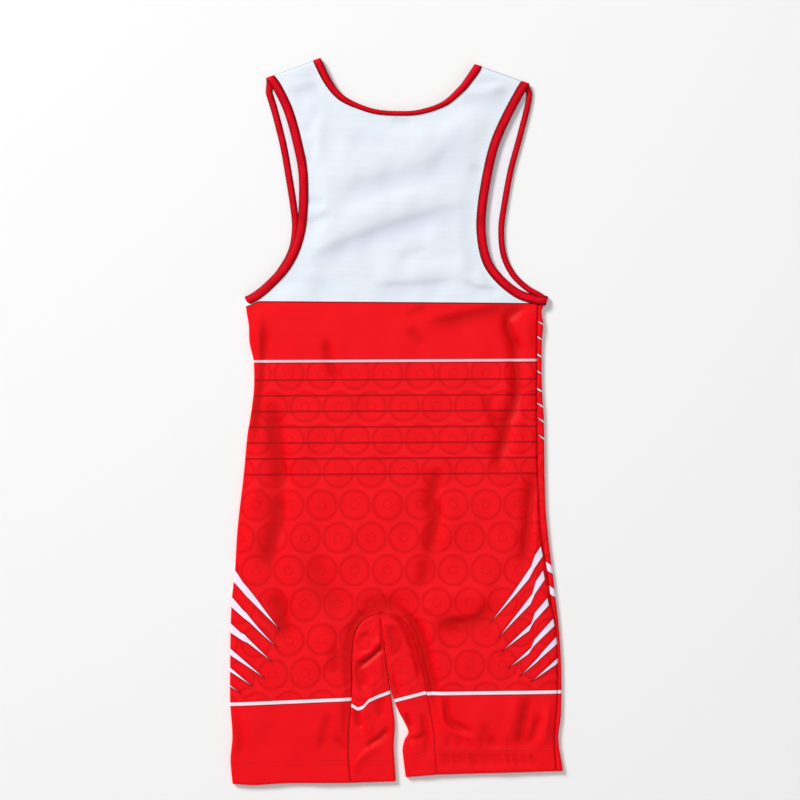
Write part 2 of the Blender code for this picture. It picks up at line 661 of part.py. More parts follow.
def make_bindings(back, front):
    left = joined(fold_end(back["strap_left"], 0, 1)[::-1], column(back["upper_left"], 0, 1),
                  column(back["yoke"], 0, 1)[:-1], fold_end(back["left"], 0, 1),
                  fold_end(front["left"], 0, 1)[::-1], column(front["yoke"], 0, 1)[-2::-1],
                  column(front["upper_left"], 0, 1)[::-1], fold_end(front["strap_left"], 0, 1))
    right = joined(fold_end(back["strap_right"], 0, 1)[::-1], column(back["upper_right"], 0, 1),
                   column(back["yoke"], -1, -1)[:-1],
                   [EdgePoint(back["body"][0][-1], back["body"][1][-1], True)],
                   fold_end(front["right"], 0, 1), column(front["yoke"], -1, -1)[-2::-1],
                   column(front["upper_right"], 0, 1)[::-1], fold_end(front["strap_right"], 0, 1))
    neck = joined(fold_end(back["strap_left"], -1, -1)[::-1], column(back["upper_left"], -1, -1),
                  neck_edge(back["yoke"]), column(back["upper_right"], -1, -1)[::-1],
                  fold_end(back["strap_right"], -1, -1), fold_end(front["strap_right"], -1, -1)[::-1],
                  column(front["upper_right"], -1, -1), neck_edge(front["yoke"])[::-1],
                  column(front["upper_left"], -1, -1)[::-1], fold_end(front["strap_left"], -1, -1))
    binding("armhole_binding_left", left)
    binding("armhole_binding_right", right)
    binding("neck_binding", neck)


# ---- the whole garment ---------------------------------------------------------------------------
RED = (0.80, 0.01, 0.02)
BINDING_RED = (0.58, 0.004, 0.015)
CLOTH_ROUGHNESS = 0.55
TAPE_ROUGHNESS = 0.5

for obj in list(bpy.data.objects):
    bpy.data.objects.remove(obj, do_unlink=True)
COLLECTION = bpy.data.collections.new("wrestling_singlet")
bpy.context.scene.collection.children.link(COLLECTION)

back_edges = make_back()
front_edges = make_front()
make_inner_leg("inner_leg_left", ARCH_LEFT, INNER_LEFT, -1)
make_inner_leg("inner_leg_right", ARCH_RIGHT, INNER_RIGHT, 1)
make_bindings(back_edges, front_edges)
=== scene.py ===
# %% [markdown]
# # A wrestling singlet, laid flat on its front
# The garment is a tube of stretch knit with two short legs: a back panel, a front panel, two pieces that
# line the inside of the legs, and three loops of folded tape round the neck and the armholes. The packed
# model already holds these pieces as plain solids at their real size. This script gives each one its fine
# surface: the cloth's soft folds, the rolled tape, the sewing and the printed pattern. It starts by loading
# the solids as a frame.

# %% Load the frame
import math
from collections import namedtuple

import bmesh
import bpy
import numpy as np
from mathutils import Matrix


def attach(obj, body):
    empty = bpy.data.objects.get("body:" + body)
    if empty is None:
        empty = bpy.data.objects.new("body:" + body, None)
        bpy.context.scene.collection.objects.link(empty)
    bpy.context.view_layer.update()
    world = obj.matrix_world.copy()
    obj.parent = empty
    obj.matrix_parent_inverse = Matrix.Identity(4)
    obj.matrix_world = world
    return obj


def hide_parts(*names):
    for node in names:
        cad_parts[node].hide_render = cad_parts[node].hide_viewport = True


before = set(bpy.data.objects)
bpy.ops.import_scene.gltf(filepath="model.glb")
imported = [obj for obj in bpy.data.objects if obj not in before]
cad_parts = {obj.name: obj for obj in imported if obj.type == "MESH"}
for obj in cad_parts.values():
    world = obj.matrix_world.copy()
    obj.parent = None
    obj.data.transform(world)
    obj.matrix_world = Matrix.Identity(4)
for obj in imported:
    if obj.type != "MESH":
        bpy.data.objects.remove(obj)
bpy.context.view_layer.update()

MM = 0.001
print("pieces in the frame:", sorted(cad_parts))

# %% [markdown]
# ## Sizes
# All the sizes here are in millimetres, as a cutter would write them, and become metres only when a mesh is
# made. X runs across the garment, Y towards the shoulders and Z up from the table. The heights are those of
# the middle of the cloth: the front lies on the table, the back lies on the front, and both rise a little
# at their bound edges, where the tape is thicker than the cloth.

# %% Cloth, seams and heights
CLOTH = 1.0                # wall of the knit
SEAM_GAP = 0.3             # between two pieces at a seam
TURN_UP = 1.6              # from the hem's outer layer to its turned-up layer
HEM_DEPTH = 25.0
TAPE_WIDTH = 9.4           # from the tape's fold to its sewn edge
TAPE_HALF = 1.6            # from the middle of the cloth to the face of the tape

FRONT_Z = CLOTH / 2
FRONT_BOUND_Z = TAPE_HALF
BACK_Z = 4.4
BACK_BOUND_Z = 5.7
HEM_BACK_Z = 5.2
BOUND_REACH = 34.0         # how far from a bound edge the cloth comes down again
EDGE_FLAT = 3.0            # this strip along a side fold or a shoulder has no creases,
SIDE_FADE = 13.0           # and they grow over this width beside it,
ARCH_FADE = 10.0           # beside the leg arch
SHOULDER_FADE = 20.0       # and beside the shoulder
BOUND_RISE_FROM = 70.0     # from this height up, the back rises to its bound height
BOUND_RISE = 50.0          # over this length
HEM_RISE_FROM = -340.0     # from this height down, it rises to its height at the hem
HEM_RISE = 45.0
BODY_SWELL = 1.6           # how far the middle of the back stands over its folded edges

Point = namedtuple("Point", "x y")
print("the back lies", BACK_Z - FRONT_Z, "mm over the front, and", round(BACK_BOUND_Z - FRONT_BOUND_Z, 1),
      "mm where they are bound")

# %% [markdown]
# ## The cut
# An outline is a short table of the points that its shape needs, and a smooth curve is drawn through them.
# The two panels share the shoulder corners, the armpits and the side folds, because they are sewn there.
# The side folds and the right side seam hold one X for each height, so their points give the height first.

# %% Outlines
SHOULDER_LEFT = Point(-150.8, 398.0)
SHOULDER_RIGHT = Point(153.7, 391.5)
NECK_LEFT = Point(-88.7, 421.0)
NECK_RIGHT = Point(91.1, 414.0)
ARMPIT_LEFT = Point(-176.0, 144.0)
ARMPIT_RIGHT = Point(176.0, 144.0)
CROWN = Point(-19.1, -222.7)       # top of the arch between the legs

BACK_NECK = [NECK_LEFT, (-78.4, 398.7), (-69.2, 384.4), (-57.3, 374.0), (-37.8, 364.8), (-20.5, 360.2),
             (1.7, 358.7), (26.1, 360.2), (53.9, 370.0), (75.4, 389.8), NECK_RIGHT]
FRONT_NECK = [NECK_LEFT, (-81.0, 378.0), (-62.0, 338.0), (-28.0, 318.0), (1.7, 314.0), (31.0, 318.0),
              (63.0, 338.0), (83.0, 377.0), NECK_RIGHT]
BACK_ARMHOLE_LEFT = [SHOULDER_LEFT, (-143.3, 387.0), (-129.7, 358.9), (-118.9, 320.2), (-112.5, 283.0),
                     (-113.6, 234.3), (-120.1, 204.2), (-132.1, 181.0), (-152.0, 159.5), (-165.0, 149.0),
                     ARMPIT_LEFT]
FRONT_ARMHOLE_LEFT = [SHOULDER_LEFT, (-151.2, 381.0), (-144.4, 358.9), (-134.6, 320.2), (-128.4, 285.7),
                      (-122.4, 247.1), (-120.6, 222.7), (-125.0, 198.0), (-138.0, 175.0), (-153.0, 158.5),
                      (-165.0, 149.0), ARMPIT_LEFT]
BACK_ARMHOLE_RIGHT = [SHOULDER_RIGHT, (147.8, 381.5), (131.7, 351.5), (118.1, 320.2), (109.6, 285.7),
                      (103.5, 247.1), (102.7, 217.4), (108.5, 187.9), (121.8, 168.5), (141.3, 152.5),
                      (158.0, 146.0), ARMPIT_RIGHT]
FRONT_ARMHOLE_RIGHT = [SHOULDER_RIGHT, (157.0, 382.0), (154.9, 366.0), (145.0, 327.1), (135.1, 290.6),
                       (127.9, 251.7), (124.2, 222.7), (126.7, 194.0), (137.0, 172.0), (153.0, 156.5),
                       (166.0, 149.0), ARMPIT_RIGHT]
LEFT_FOLD = [(144.0, -176.0), (125.0, -173.7), (110.0, -171.4), (92.0, -170.8), (77.0, -167.4),
             (69.6, -165.8), (38.3, -165.5), (4.6, -169.6), (-15.1, -173.0), (-60.0, -177.2),
             (-125.0, -184.6), (-174.0, -187.7), (-211.0, -191.6), (-284.0, -193.2), (-327.0, -193.1),
             (-366.0, -190.6), (-393.0, -192.7), (-419.0, -190.5)]
RIGHT_FOLD = [(144.0, 176.0), (128.0, 168.5), (112.0, 170.4), (93.0, 168.8), (39.0, 168.8), (4.6, 171.0),
              (-52.0, 171.8), (-100.0, 173.1), (-142.0, 176.9), (-178.0, 181.5), (-207.0, 184.8),
              (-239.0, 188.5), (-282.0, 191.2), (-340.0, 191.0), (-369.0, 188.0), (-405.0, 193.2)]
RIGHT_SEAM = [(144.0, 165.0), (93.0, 163.4), (-33.0, 163.6), (-110.0, 166.2), (-130.0, 167.8),
              (-150.0, 171.0), (-174.0, 174.8), (-202.0, 178.4), (-216.0, 180.8), (-226.0, 183.2),
              (-240.0, 185.0), (-262.0, 186.8), (-290.0, 187.4), (-320.0, 187.2), (-345.0, 185.4),
              (-369.0, 183.9), (-405.0, 185.6)]
ARCH_LEFT = [CROWN, (-36.0, -229.7), (-45.8, -241.3), (-50.0, -255.8), (-51.6, -280.0), (-52.0, -318.0),
             (-55.1, -360.8), (-55.6, -393.0), (-53.0, -418.5)]
ARCH_RIGHT = [CROWN, (-3.0, -225.5), (8.5, -232.0), (15.7, -243.6), (21.0, -255.8), (29.1, -285.4),
              (35.0, -314.4), (42.8, -356.1), (45.0, -384.0), (46.6, -409.0)]
INNER_LEFT = [(-19.6, -228.5), (-17.0, -243.0), (-13.8, -262.0), (-9.6, -292.3), (-6.6, -316.0),
              (-4.3, -332.3), (-1.9, -351.5), (-3.2, -377.0), (-2.3, -393.2), (-0.8, -416.5)]
INNER_RIGHT = [(-18.9, -228.5), (-16.5, -243.0), (-13.3, -262.0), (-9.1, -292.3), (-6.0, -314.0),
               (1.7, -335.4), (8.4, -348.0), (13.8, -361.0), (9.4, -370.0), (7.0, -380.7), (7.9, -391.8),
               (10.5, -412.0)]
HEM_LEFT_Y = -419.0                # where the left leg's hem meets its side fold
HEM_RIGHT_Y = -405.0
CENTRE_LINE = [(420.0, 1.7), (144.0, 0.0), (CROWN.y, CROWN.x)]

print("the garment is", round(NECK_LEFT.y - HEM_LEFT_Y), "mm long and",
      round(ARMPIT_RIGHT.x - ARMPIT_LEFT.x), "mm wide at the armpits")

# %% [markdown]
# ## Curves
# Every sheet is a grid of points, so the helpers here work on whole numpy arrays at once. A grid of forty
# thousand points is then a few array operations and not forty thousand calls.

# %% Curve helpers
def smooth_step(value):
    value = np.clip(value, 0.0, 1.0)
    return value * value * (3 - 2 * value)


def mix(a, b, share):
    return a + (b - a) * share


def steps(count):
    return np.linspace(0.0, 1.0, count + 1)


def dense_curve(points, parts=24):
    """Many points on a Catmull-Rom curve through a few."""
    known = np.array(points, float)
    ends = np.vstack([known[:1], known, known[-1:]])
    t = np.linspace(0, 1, parts, endpoint=False)[:, None]
    runs = [0.5 * (2 * b + (c - a) * t + (2 * a - 5 * b + 4 * c - d) * t**2 + (3 * b - a - 3 * c + d) * t**3)
            for a, b, c, d in zip(ends, ends[1:], ends[2:], ends[3:])]
    return np.vstack(runs + [known[-1:]])


def lengths_along(points):
    return np.concatenate([[0.0], np.cumsum(np.linalg.norm(np.diff(points, axis=0), axis=1))])


def rows_at(goal, known, values):
    """The rows of a table at the wanted places, between its known ones."""
    return np.stack([np.interp(goal, known, column) for column in values.T], -1)


def on_curve(points, shares):
    """The places at these shares of the length of the curve through a few points."""
    curve = dense_curve(points)
    length = lengths_along(curve)
    return rows_at(np.asarray(shares) * length[-1], length, curve)


def x_at(levels, y):
    """The X of an outline at these heights, on a smooth curve through its points."""
    ys, xs = np.array(sorted(levels)).T
    last = len(ys) - 1
    before, after = np.maximum(np.arange(last + 1) - 1, 0), np.minimum(np.arange(last + 1) + 1, last)
    slopes = (xs[after] - xs[before]) / (ys[after] - ys[before])
    y = np.clip(y, ys[0], ys[-1])
    low = np.clip(np.searchsorted(ys, y, side="right") - 1, 0, last - 1)
    span = ys[low + 1] - ys[low]
    t = (y - ys[low]) / span
    return ((2 * t**3 - 3 * t**2 + 1) * xs[low] + (t**3 - 2 * t**2 + t) * span * slopes[low]
            + (3 * t**2 - 2 * t**3) * xs[low + 1] + (t**3 - t**2) * span * slopes[low + 1])


def nearest_on(x, y, points):
    """For each place: its distance to a line, the side it is on, and the nearest share of the line."""
    points = np.asarray(points)[:, :2]
    length = lengths_along(points)
    away = np.full(np.shape(x), 1e9)
    side = np.ones(np.shape(x))
    share = np.zeros(np.shape(x))
    for i, ((x1, y1), (x2, y2)) in enumerate(zip(points, points[1:])):
        run_x, run_y = x2 - x1, y2 - y1
        span = run_x**2 + run_y**2
        if span == 0:
            continue
        part = np.clip(((x - x1) * run_x + (y - y1) * run_y) / span, 0, 1)
        gap_x, gap_y = x - x1 - part * run_x, y - y1 - part * run_y
        gap = np.hypot(gap_x, gap_y)
        nearer = gap < away
        away = np.where(nearer, gap, away)
        side = np.where(nearer, np.sign(run_x * gap_y - run_y * gap_x), side)
        share = np.where(nearer, (length[i] + part * math.sqrt(span)) / length[-1], share)
    return away, side, share


print("the left armhole is", round(lengths_along(dense_curve(BACK_ARMHOLE_LEFT))[-1]), "mm long on the back")

# %% [markdown]
# ## Folds and creases
# A crease is a line of a few points with a width and a height: a ridge where the height is over 0, a trough
# where it is under. Its profile across is a soft bell, and `steep` makes one side of the bell narrower, for a
# fold that leans over. It fades out towards both ends. Real creases are uneven, so they are placed one by
# one. Placing them is also kinder to the eye than noise: they start at the armpits, the crotch and the seams,
# where cloth is really pulled.

# %% The creases of the back
Crease = namedtuple("Crease", "points width height steep", defaults=[1.0])


def creases_of(*rows):
    return [Crease(*row) for row in rows]


YOKE_CREASES = creases_of(
    ([(-77, 261), (-5, 280), (48, 298), (90, 345)], 30, -1.5, 0.8),
    ([(-60, 290), (0, 306), (44, 330)], 30, 0.7),
    ([(-112, 174), (-63, 202), (-8, 223), (31, 235), (66, 243), (94, 241)], 24, -2.2, 0.7),
    ([(-90, 214), (-40, 238), (20, 258), (70, 270)], 30, 1.0),
    ([(-31, 155), (31, 158), (76, 163)], 18, -1.4, 0.55),
    ([(10, 172), (56, 178), (84, 176)], 22, 1.2, 0.7),
    ([(76, 164), (84, 160), (95, 154), (123, 152)], 10, -1.3, 0.6),
    ([(-106, 257), (-82, 253)], 11, -0.9),
    ([(-106, 231), (-89, 235), (-75, 244)], 13, -1.2, 0.6),
    ([(-122, 379), (-105, 384), (-88, 391)], 18, -1.3, 0.7),
    ([(-124, 394), (-104, 402), (-90, 405)], 14, -0.7),
    ([(-94, 328), (-97, 313), (-103, 295)], 10, -0.9, 0.6),
    ([(-92, 371), (-96, 351), (-107, 331)], 12, -0.8),
    ([(-84, 352), (-92, 322), (-99, 300)], 13, 0.6),
    ([(74, 369), (108, 375), (138, 387)], 18, -1.5, 0.7),
    ([(92, 393), (121, 397)], 12, -0.9),
    ([(96, 350), (110, 344), (121, 330)], 15, 0.7),
    ([(-6, 354), (20, 345)], 13, -0.8, 0.6),
    ([(85, 297), (102, 288)], 12, -0.9, 0.6),
    ([(0, 186), (40, 203)], 13, -0.7),
    ([(95, 176), (104, 156)], 11, 0.9, 0.6),
    ([(-140, 156), (-104, 160), (-60, 150)], 20, -0.6),
    ([(-62, 316), (-30, 330), (10, 328)], 26, -0.5),
)
BODY_CREASES = creases_of(
    ([(152, 133), (131, 119), (134, 99), (146, 76)], 12, -3.5, 0.7),
    ([(158, 120), (150, 104), (156, 84)], 11, 0.9),
    ([(36, 111), (75, 120), (100, 125), (138, 134)], 17, -2.4, 0.6),
    ([(8, 122), (38, 134)], 10, -1.3, 0.6),
    ([(14, 110), (32, 86)], 12, -1.3),
    ([(-154, 128), (-154, 78), (-156, 58), (-157, 42), (-161, 16), (-165, -30)], 11, -3.2, 0.8),
    ([(-162, 120), (-160, 70), (-161, 44)], 9, 1.1),
    ([(-143, 24), (-139, -9), (-134, -45), (-132, -63), (-134, -90)], 19, -3.4, 0.7),
    ([(-135, -76), (-134, -117), (-143, -146), (-148, -178)], 21, -3.5, 0.6),
    ([(-143, -196), (-132, -220), (-128, -258)], 19, -2.6, 0.7),
    ([(-116, 8), (-112, -60), (-116, -130), (-122, -190)], 29, 1.5),
    ([(-168, -60), (-170, -120), (-174, -168)], 20, 1.1),
    ([(-81, 98), (-75, 68), (-66, 44)], 10, -2.1, 0.6),
    ([(-70, 100), (-64, 72), (-56, 50)], 15, 0.8),
    ([(136, 98), (140, 42), (136, 14), (129, -3), (126, -22), (120, -42), (119, -72)], 15, -3.4, 0.7),
    ([(126, 70), (127, 30), (118, 4)], 17, 1.4),
    ([(103, 31), (107, 14), (118, -12)], 11, -2.1),
    ([(147, 30), (141, -10), (140, -50)], 15, 1.4),
    ([(160, -56), (157, -87), (155, -110), (153, -132), (149, -157), (146, -176)], 13, -3.5, 0.7),
    ([(163, -80), (162, -120), (159, -150)], 9, 1.5),
    ([(48, -52), (44, -81), (35, -110)], 16, -2.6, 0.7),
    ([(49, -90), (47, -117), (41, -146), (39, -162)], 15, -3.0, 0.6),
    ([(62, -70), (62, -112), (56, -150)], 20, 1.1),
    ([(25, -160), (33, -174), (27, -194)], 13, -1.9),
    ([(55, -227), (75, -233), (98, -227), (105, -206)], 19, -2.6, 0.6),
    ([(52, -196), (84, -204), (118, -196)], 25, 1.1),
    ([(-30, 20), (-24, -60), (-30, -130)], 45, 0.6),
    ([(-100, -150), (-84, -196), (-60, -226)], 27, -1.4),
)
LEG_CREASES = creases_of(
    ([(-64, -236), (-70, -262), (-72, -300)], 14, -1.0, 0.7),
    ([(-78, -246), (-80, -290)], 22, 1.0),
    ([(10, -220), (30, -246), (40, -290), (50, -330)], 16, -2.6, 0.6),
    ([(28, -226), (46, -262), (56, -306)], 18, 1.2),
    ([(-87, -384), (-82, -354), (-74, -338)], 10, -1.4),
    ([(-70, -364), (-58, -384)], 8, -1.5, 0.6),
    ([(-100, -380), (-92, -352)], 13, 0.8),
    ([(-188, -340), (-182, -372), (-184, -392)], 11, -1.5),
    ([(-170, -336), (-166, -376)], 20, 0.6),
    ([(48, -316), (53, -334), (55, -347), (62, -357), (77, -362), (88, -369), (97, -381)], 6, 1.9, 0.6),
    ([(57, -318), (61, -345), (72, -354), (90, -360)], 11, -2.3, 0.6),
    ([(100, -352), (112, -380)], 10, -1.2),
    ([(153, -317), (148, -347), (141, -380)], 13, -2.6, 0.7),
    ([(140, -322), (134, -352), (126, -378)], 14, 1.2),
    ([(166, -340), (160, -360), (152, -378)], 9, -1.9),
    ([(176, -330), (172, -362), (164, -380)], 9, 1.4),
    ([(182, -350), (180, -378)], 8, -1.6),
)
ARCH_CREASES = creases_of(
    ([(-20, -217), (-35, -224), (-47, -236), (-53, -252), (-55, -280), (-55, -314)], 10, -2.9, 0.8),
    ([(-24, -217), (0, -218), (12, -226), (20, -238), (26, -256), (34, -285), (40, -312), (47, -350)],
     9, -2.0),
    ([(-44, -211), (-19, -212), (12, -208)], 18, -1.6),
    ([(42, -232), (60, -238), (84, -236)], 14, -1.5),
    ([(-60, -322), (-58, -350), (-58, -388)], 9, -1.5),
    ([(-66, -296), (-70, -262)], 16, -1.0),
    ([(24, -222), (34, -216), (44, -220)], 12, 0.8),
)
PUCKER_PLACES = [52, 57, 61, 67, 74, 80, 87, 93, 101, 108, 114, 121, 130, 139, 149, 158]
HEM_PUCKERS = [Crease([(x - 3, -383 - x % 5), (x + 1 + x % 4, -402 + x % 3)], 5.0, -0.9 - 0.2 * (x % 4))
               for x in PUCKER_PLACES]
HEM_PUCKERS += [Crease([(x - 4, -362 - x % 7), (x + 1, -380)], 6.5, -0.9 - 0.2 * (x % 3))
                for x in PUCKER_PLACES[2::2]]
BACK_CREASES = YOKE_CREASES + BODY_CREASES + LEG_CREASES + ARCH_CREASES + HEM_PUCKERS
FRONT_CREASES = creases_of(
    ([(-92, 290), (-40, 262), (10, 268), (70, 292)], 15, 1.1, 0.7),
    ([(-80, 196), (-20, 176), (52, 190), (84, 214)], 14, 1.0, 0.6),
    ([(-136, 120), (-132, 60), (-140, 0)], 13, 1.1, 0.7),
    ([(132, 110), (128, 52), (136, -10)], 13, 1.2, 0.7),
    ([(-126, -30), (-118, -90), (-130, -150)], 15, 1.1, 0.6),
    ([(120, -40), (126, -96), (118, -150)], 15, 1.1, 0.6),
    ([(-20, -40), (-26, -100), (-12, -160)], 14, 1.0, 0.7),
    ([(22, -60), (30, -120), (20, -180)], 13, 0.9, 0.7),
    ([(-74, -204), (-96, -230), (-128, -236)], 15, 1.1, 0.6),
    ([(56, -206), (84, -228), (118, -226)], 15, 1.1, 0.6),
    ([(-90, -270), (-96, -320), (-88, -360)], 14, 1.0, 0.6),
    ([(104, -270), (110, -318), (100, -356)], 14, 1.0, 0.6),
)
print(len(BACK_CREASES), "creases on the back")


def crease_height(x, y, creases):
    total = np.zeros(np.shape(x))
    for crease in creases:
        line = on_curve(crease.points, steps(4 * (len(crease.points) - 1) + 2))
        reach = 2.2 * crease.width
        low, high = line.min(axis=0) - reach, line.max(axis=0) + reach
        near = (x > low[0]) & (x < high[0]) & (y > low[1]) & (y < high[1])
        if not near.any():
            continue
        away, side, share = nearest_on(x[near], y[near], line)
        half = crease.width / 2 * np.where(side > 0, crease.steep, 2 - crease.steep)
        fade = smooth_step(share / 0.3 + 0.12) * smooth_step((1 - share) / 0.3 + 0.12)
        total[near] += crease.height * fade * np.exp(-(away / half) ** 2)
    return total

# %% [markdown]
# Between the creases no cloth lies dead flat. A few long, low waves in different directions are enough, and
# they give the same cloth each time. Close to a bound edge the tape gathers the knit a little, so the cloth
# there has small ribs that run away from the tape.

# %% Waves, ribs and the heights of both layers
Wave = namedtuple("Wave", "across along height start")
WAVES = [Wave(71, 160, 0.26, 0.3), Wave(-96, 88, 0.22, 1.9), Wave(43, -150, 0.16, 4.1),
         Wave(-58, -64, 0.12, 2.6), Wave(31, 240, 0.10, 5.2), Wave(-27, 46, 0.06, 0.9)]


def wave_height(x, y):
    return sum(wave.height * np.sin(2 * math.pi * (x / wave.across + y / wave.along) + wave.start)
               for wave in WAVES)


BACK_EDGES = [dense_curve(edge, 6) for edge in (BACK_NECK, BACK_ARMHOLE_LEFT, BACK_ARMHOLE_RIGHT)]
FRONT_EDGES = [dense_curve(edge, 6) for edge in (FRONT_NECK, FRONT_ARMHOLE_LEFT, FRONT_ARMHOLE_RIGHT)]
RIB_LENGTH = 7.0
RIB_HEIGHT = 0.20


def bound_edge(x, y, edges):
    """How far the nearest bound edge is, and the length along it."""
    away, run = np.full(np.shape(x), 1e9), np.zeros(np.shape(x))
    for edge in edges:
        gap, _, share = nearest_on(x, y, edge)
        run = np.where(gap < away, share * lengths_along(edge)[-1], run)
        away = np.minimum(away, gap)
    return away, run


def near_bound_edge(away):
    """1 under the tape of a bound edge, and 0 from BOUND_REACH on."""
    flat = TAPE_WIDTH + 3
    return 1 - smooth_step((away - flat) / (BOUND_REACH - flat))


def rib_height(away, run):
    uneven = np.sin(run / 23.0) + 0.6 * np.sin(run / 9.1 + 1.0)
    ribs = np.sin(2 * math.pi * run / RIB_LENGTH + 1.8 * uneven)
    return RIB_HEIGHT * (0.7 + 0.3 * uneven) * ribs * smooth_step(away / TAPE_WIDTH) * np.exp(-away / 11)


ARCH = np.vstack([dense_curve(ARCH_LEFT, 6)[::-1], dense_curve(ARCH_RIGHT, 6)])


def inside_panel(x, y):
    """0 at the side folds, the leg arch and the shoulders, and 1 well inside the panel."""
    side = np.minimum(x - x_at(LEFT_FOLD, y), x_at(RIGHT_FOLD, y) - x)
    side = np.where(y > ARMPIT_LEFT.y, 1e3, side)
    arch, _, _ = nearest_on(x, y, ARCH)
    shoulder = np.minimum(nearest_on(x, y, [SHOULDER_LEFT, NECK_LEFT])[0],
                          nearest_on(x, y, [SHOULDER_RIGHT, NECK_RIGHT])[0])
    beside_shoulder = smooth_step((shoulder - EDGE_FLAT) / SHOULDER_FADE)
    return smooth_step((side - EDGE_FLAT) / SIDE_FADE) * smooth_step(arch / ARCH_FADE) * beside_shoulder


def near_hem(y):
    return smooth_step((HEM_RISE_FROM - y) / HEM_RISE)


def front_z(x, y):
    """The front lies flat, but for a few creases where it stands off the table."""
    away, _ = bound_edge(x, y, FRONT_EDGES)
    creases = crease_height(x, y, FRONT_CREASES) * inside_panel(x, y) * smooth_step((away - 4) / 12)
    return mix(FRONT_Z, FRONT_BOUND_Z, near_bound_edge(away)) + creases


def back_level(y):
    level = mix(BACK_Z, BACK_BOUND_Z, smooth_step((y - BOUND_RISE_FROM) / BOUND_RISE))
    return mix(level, HEM_BACK_Z, near_hem(y))


SEAM_DIP = 0.4             # how far the two cloths go down to each other at the right side seam
SEAM_DIP_REACH = 3.5


def seam_dip(x, y):
    away = np.abs(x - x_at(RIGHT_SEAM, y))
    return np.where(y > ARMPIT_RIGHT.y, 0.0, SEAM_DIP * smooth_step(1 - away / SEAM_DIP_REACH))


def back_z(x, y):
    away, run = bound_edge(x, y, BACK_EDGES)
    bound, inside = near_bound_edge(away), inside_panel(x, y)
    swell = BODY_SWELL * (1 - near_hem(y)) * (1 - bound)
    creases = crease_height(x, y, BACK_CREASES) * smooth_step((away - 4) / 8)
    loose = swell + creases + wave_height(x, y) * (1 - bound) + rib_height(away, run)
    return back_level(y) + loose * inside - seam_dip(x, y)


def fold_radius(x, y):
    """Half of the height between the two layers where they meet in a fold."""
    return (back_level(y) - front_z(x, y)) / 2


sample = np.array([[0.0, 60.0], [0.0, -100.0]])
print("heights at the chest and the seat:", back_z(sample[:, 0], sample[:, 1]).round(2), "mm")

# %% [markdown]
# ## Where the print lies on the cloth
# The pattern is printed before the cloth is sewn, so it belongs to the cloth and not to the table. Each
# sheet carries a UV map named "print": U runs across the garment and V up it, in metres along the cloth. It
# goes on round the folds, and it lies a little askew where the garment was put down a little askew, which
# is what tilts the printed lines.

# %% The print's own coordinates
TILT = np.array([(-260, 0.0), (-60, -0.005), (71, -0.005), (138, 0.007), (430, 0.007)])
LEG_RISE = np.array([(-193, 8.9), (-52, 2.9), (38, -3.6), (190, -5.6)])
INNER_LEFT_RISE = np.array([(-52, 10.0), (-45, 14.4), (-39, 12.4), (-32, 4.5), (-20, -0.7), (-7, -5.3)])
INNER_RIGHT_RISE = np.array([(-5, 5.6), (12, 0.9), (32, -4.2)])


def table_value(table, value):
    return np.interp(value, table[:, 0], table[:, 1])


def print_v(x, y):
    """The print's height on the two panels."""
    tilt = x * table_value(TILT, y)
    leg = table_value(LEG_RISE, x) * smooth_step((-y - 190) / 66)
    armpit = 0.45 * np.maximum(-160 - x, 0) * smooth_step((y - 100) / 30)
    return y + tilt + leg + armpit


def grid_of(x, y, z, u=None, v=None):
    """A grid of points with the print's coordinates: x, y, z, u, v."""
    u = x if u is None else u
    v = print_v(x, y) if v is None else v
    return np.stack(np.broadcast_arrays(x, y, z, u, v), -1)


def on_back(places, inset=0.0):
    x, y = places[..., 0], places[..., 1]
    return grid_of(x, y, back_z(x, y) - inset)


def on_front(places, inset=0.0):
    x, y = places[..., 0], places[..., 1]
    return grid_of(x, y, front_z(x, y) + inset)


print("the leg line drops", LEG_RISE[0, 1], "mm at the left side and rises", -LEG_RISE[-1, 1],
      "mm at the right")

# %% [markdown]
# ## How a panel is divided
# A panel is too odd a shape for one grid, so it is several that share their edges: two straps, a yoke, a
# body and two legs. The strips that turn over the folds and the hems that are turned up inside are more of
# them. The cells are about 3 mm across, small enough for the sharpest crease.

# %% The grids of a panel
STRAP_COLUMNS = 16
NECK_COLUMNS = 38          # on each side of the centre
COLUMNS = 2 * (STRAP_COLUMNS + NECK_COLUMNS)
CENTRE = COLUMNS // 2
STRAP_ROWS = 8
YOKE_ROWS = 84
BODY_ROWS = 122
LEG_ROWS = 66
HEM_ROWS = 8
HEM_TURN = 5               # cells round the turn of a hem
QUARTER_TURN = 5           # cells round a quarter of a fold
SAG = 2.2                  # how far the left hem hangs down near its side,
SAG_X = -165.0             # where it hangs lowest
SAG_REACH = 22.0
# The strap's columns are closer together near its edges.
STRAP_SHARES = np.interp(steps(STRAP_COLUMNS), [0, 0.25, 0.5, 0.75, 1], [0, 0.2, 0.5, 0.8, 1])
UP, LEVEL, DOWN = 90.0, 0.0, -90.0
print("a panel is", COLUMNS, "cells across and", STRAP_ROWS + YOKE_ROWS + BODY_ROWS + LEG_ROWS, "cells long")


def left_base(y):
    """Where the left side fold begins, inside its outermost line."""
    outermost = x_at(LEFT_FOLD, y)
    return outermost + CLOTH / 2 + fold_radius(outermost + 2, y)


def right_base(y):
    outermost = x_at(RIGHT_FOLD, y)
    return outermost - CLOTH / 2 - fold_radius(outermost - 2, y)


def back_side(y):
    return x_at(RIGHT_SEAM, y) - SEAM_GAP / 2


def outward_of(corner, neck):
    """The level direction in which a strap leaves the garment over the shoulder."""
    run = np.array([neck.x - corner.x, neck.y - corner.y])
    run = run / np.linalg.norm(run)
    return np.array([-run[1], run[0]]) * np.sign(run[0])


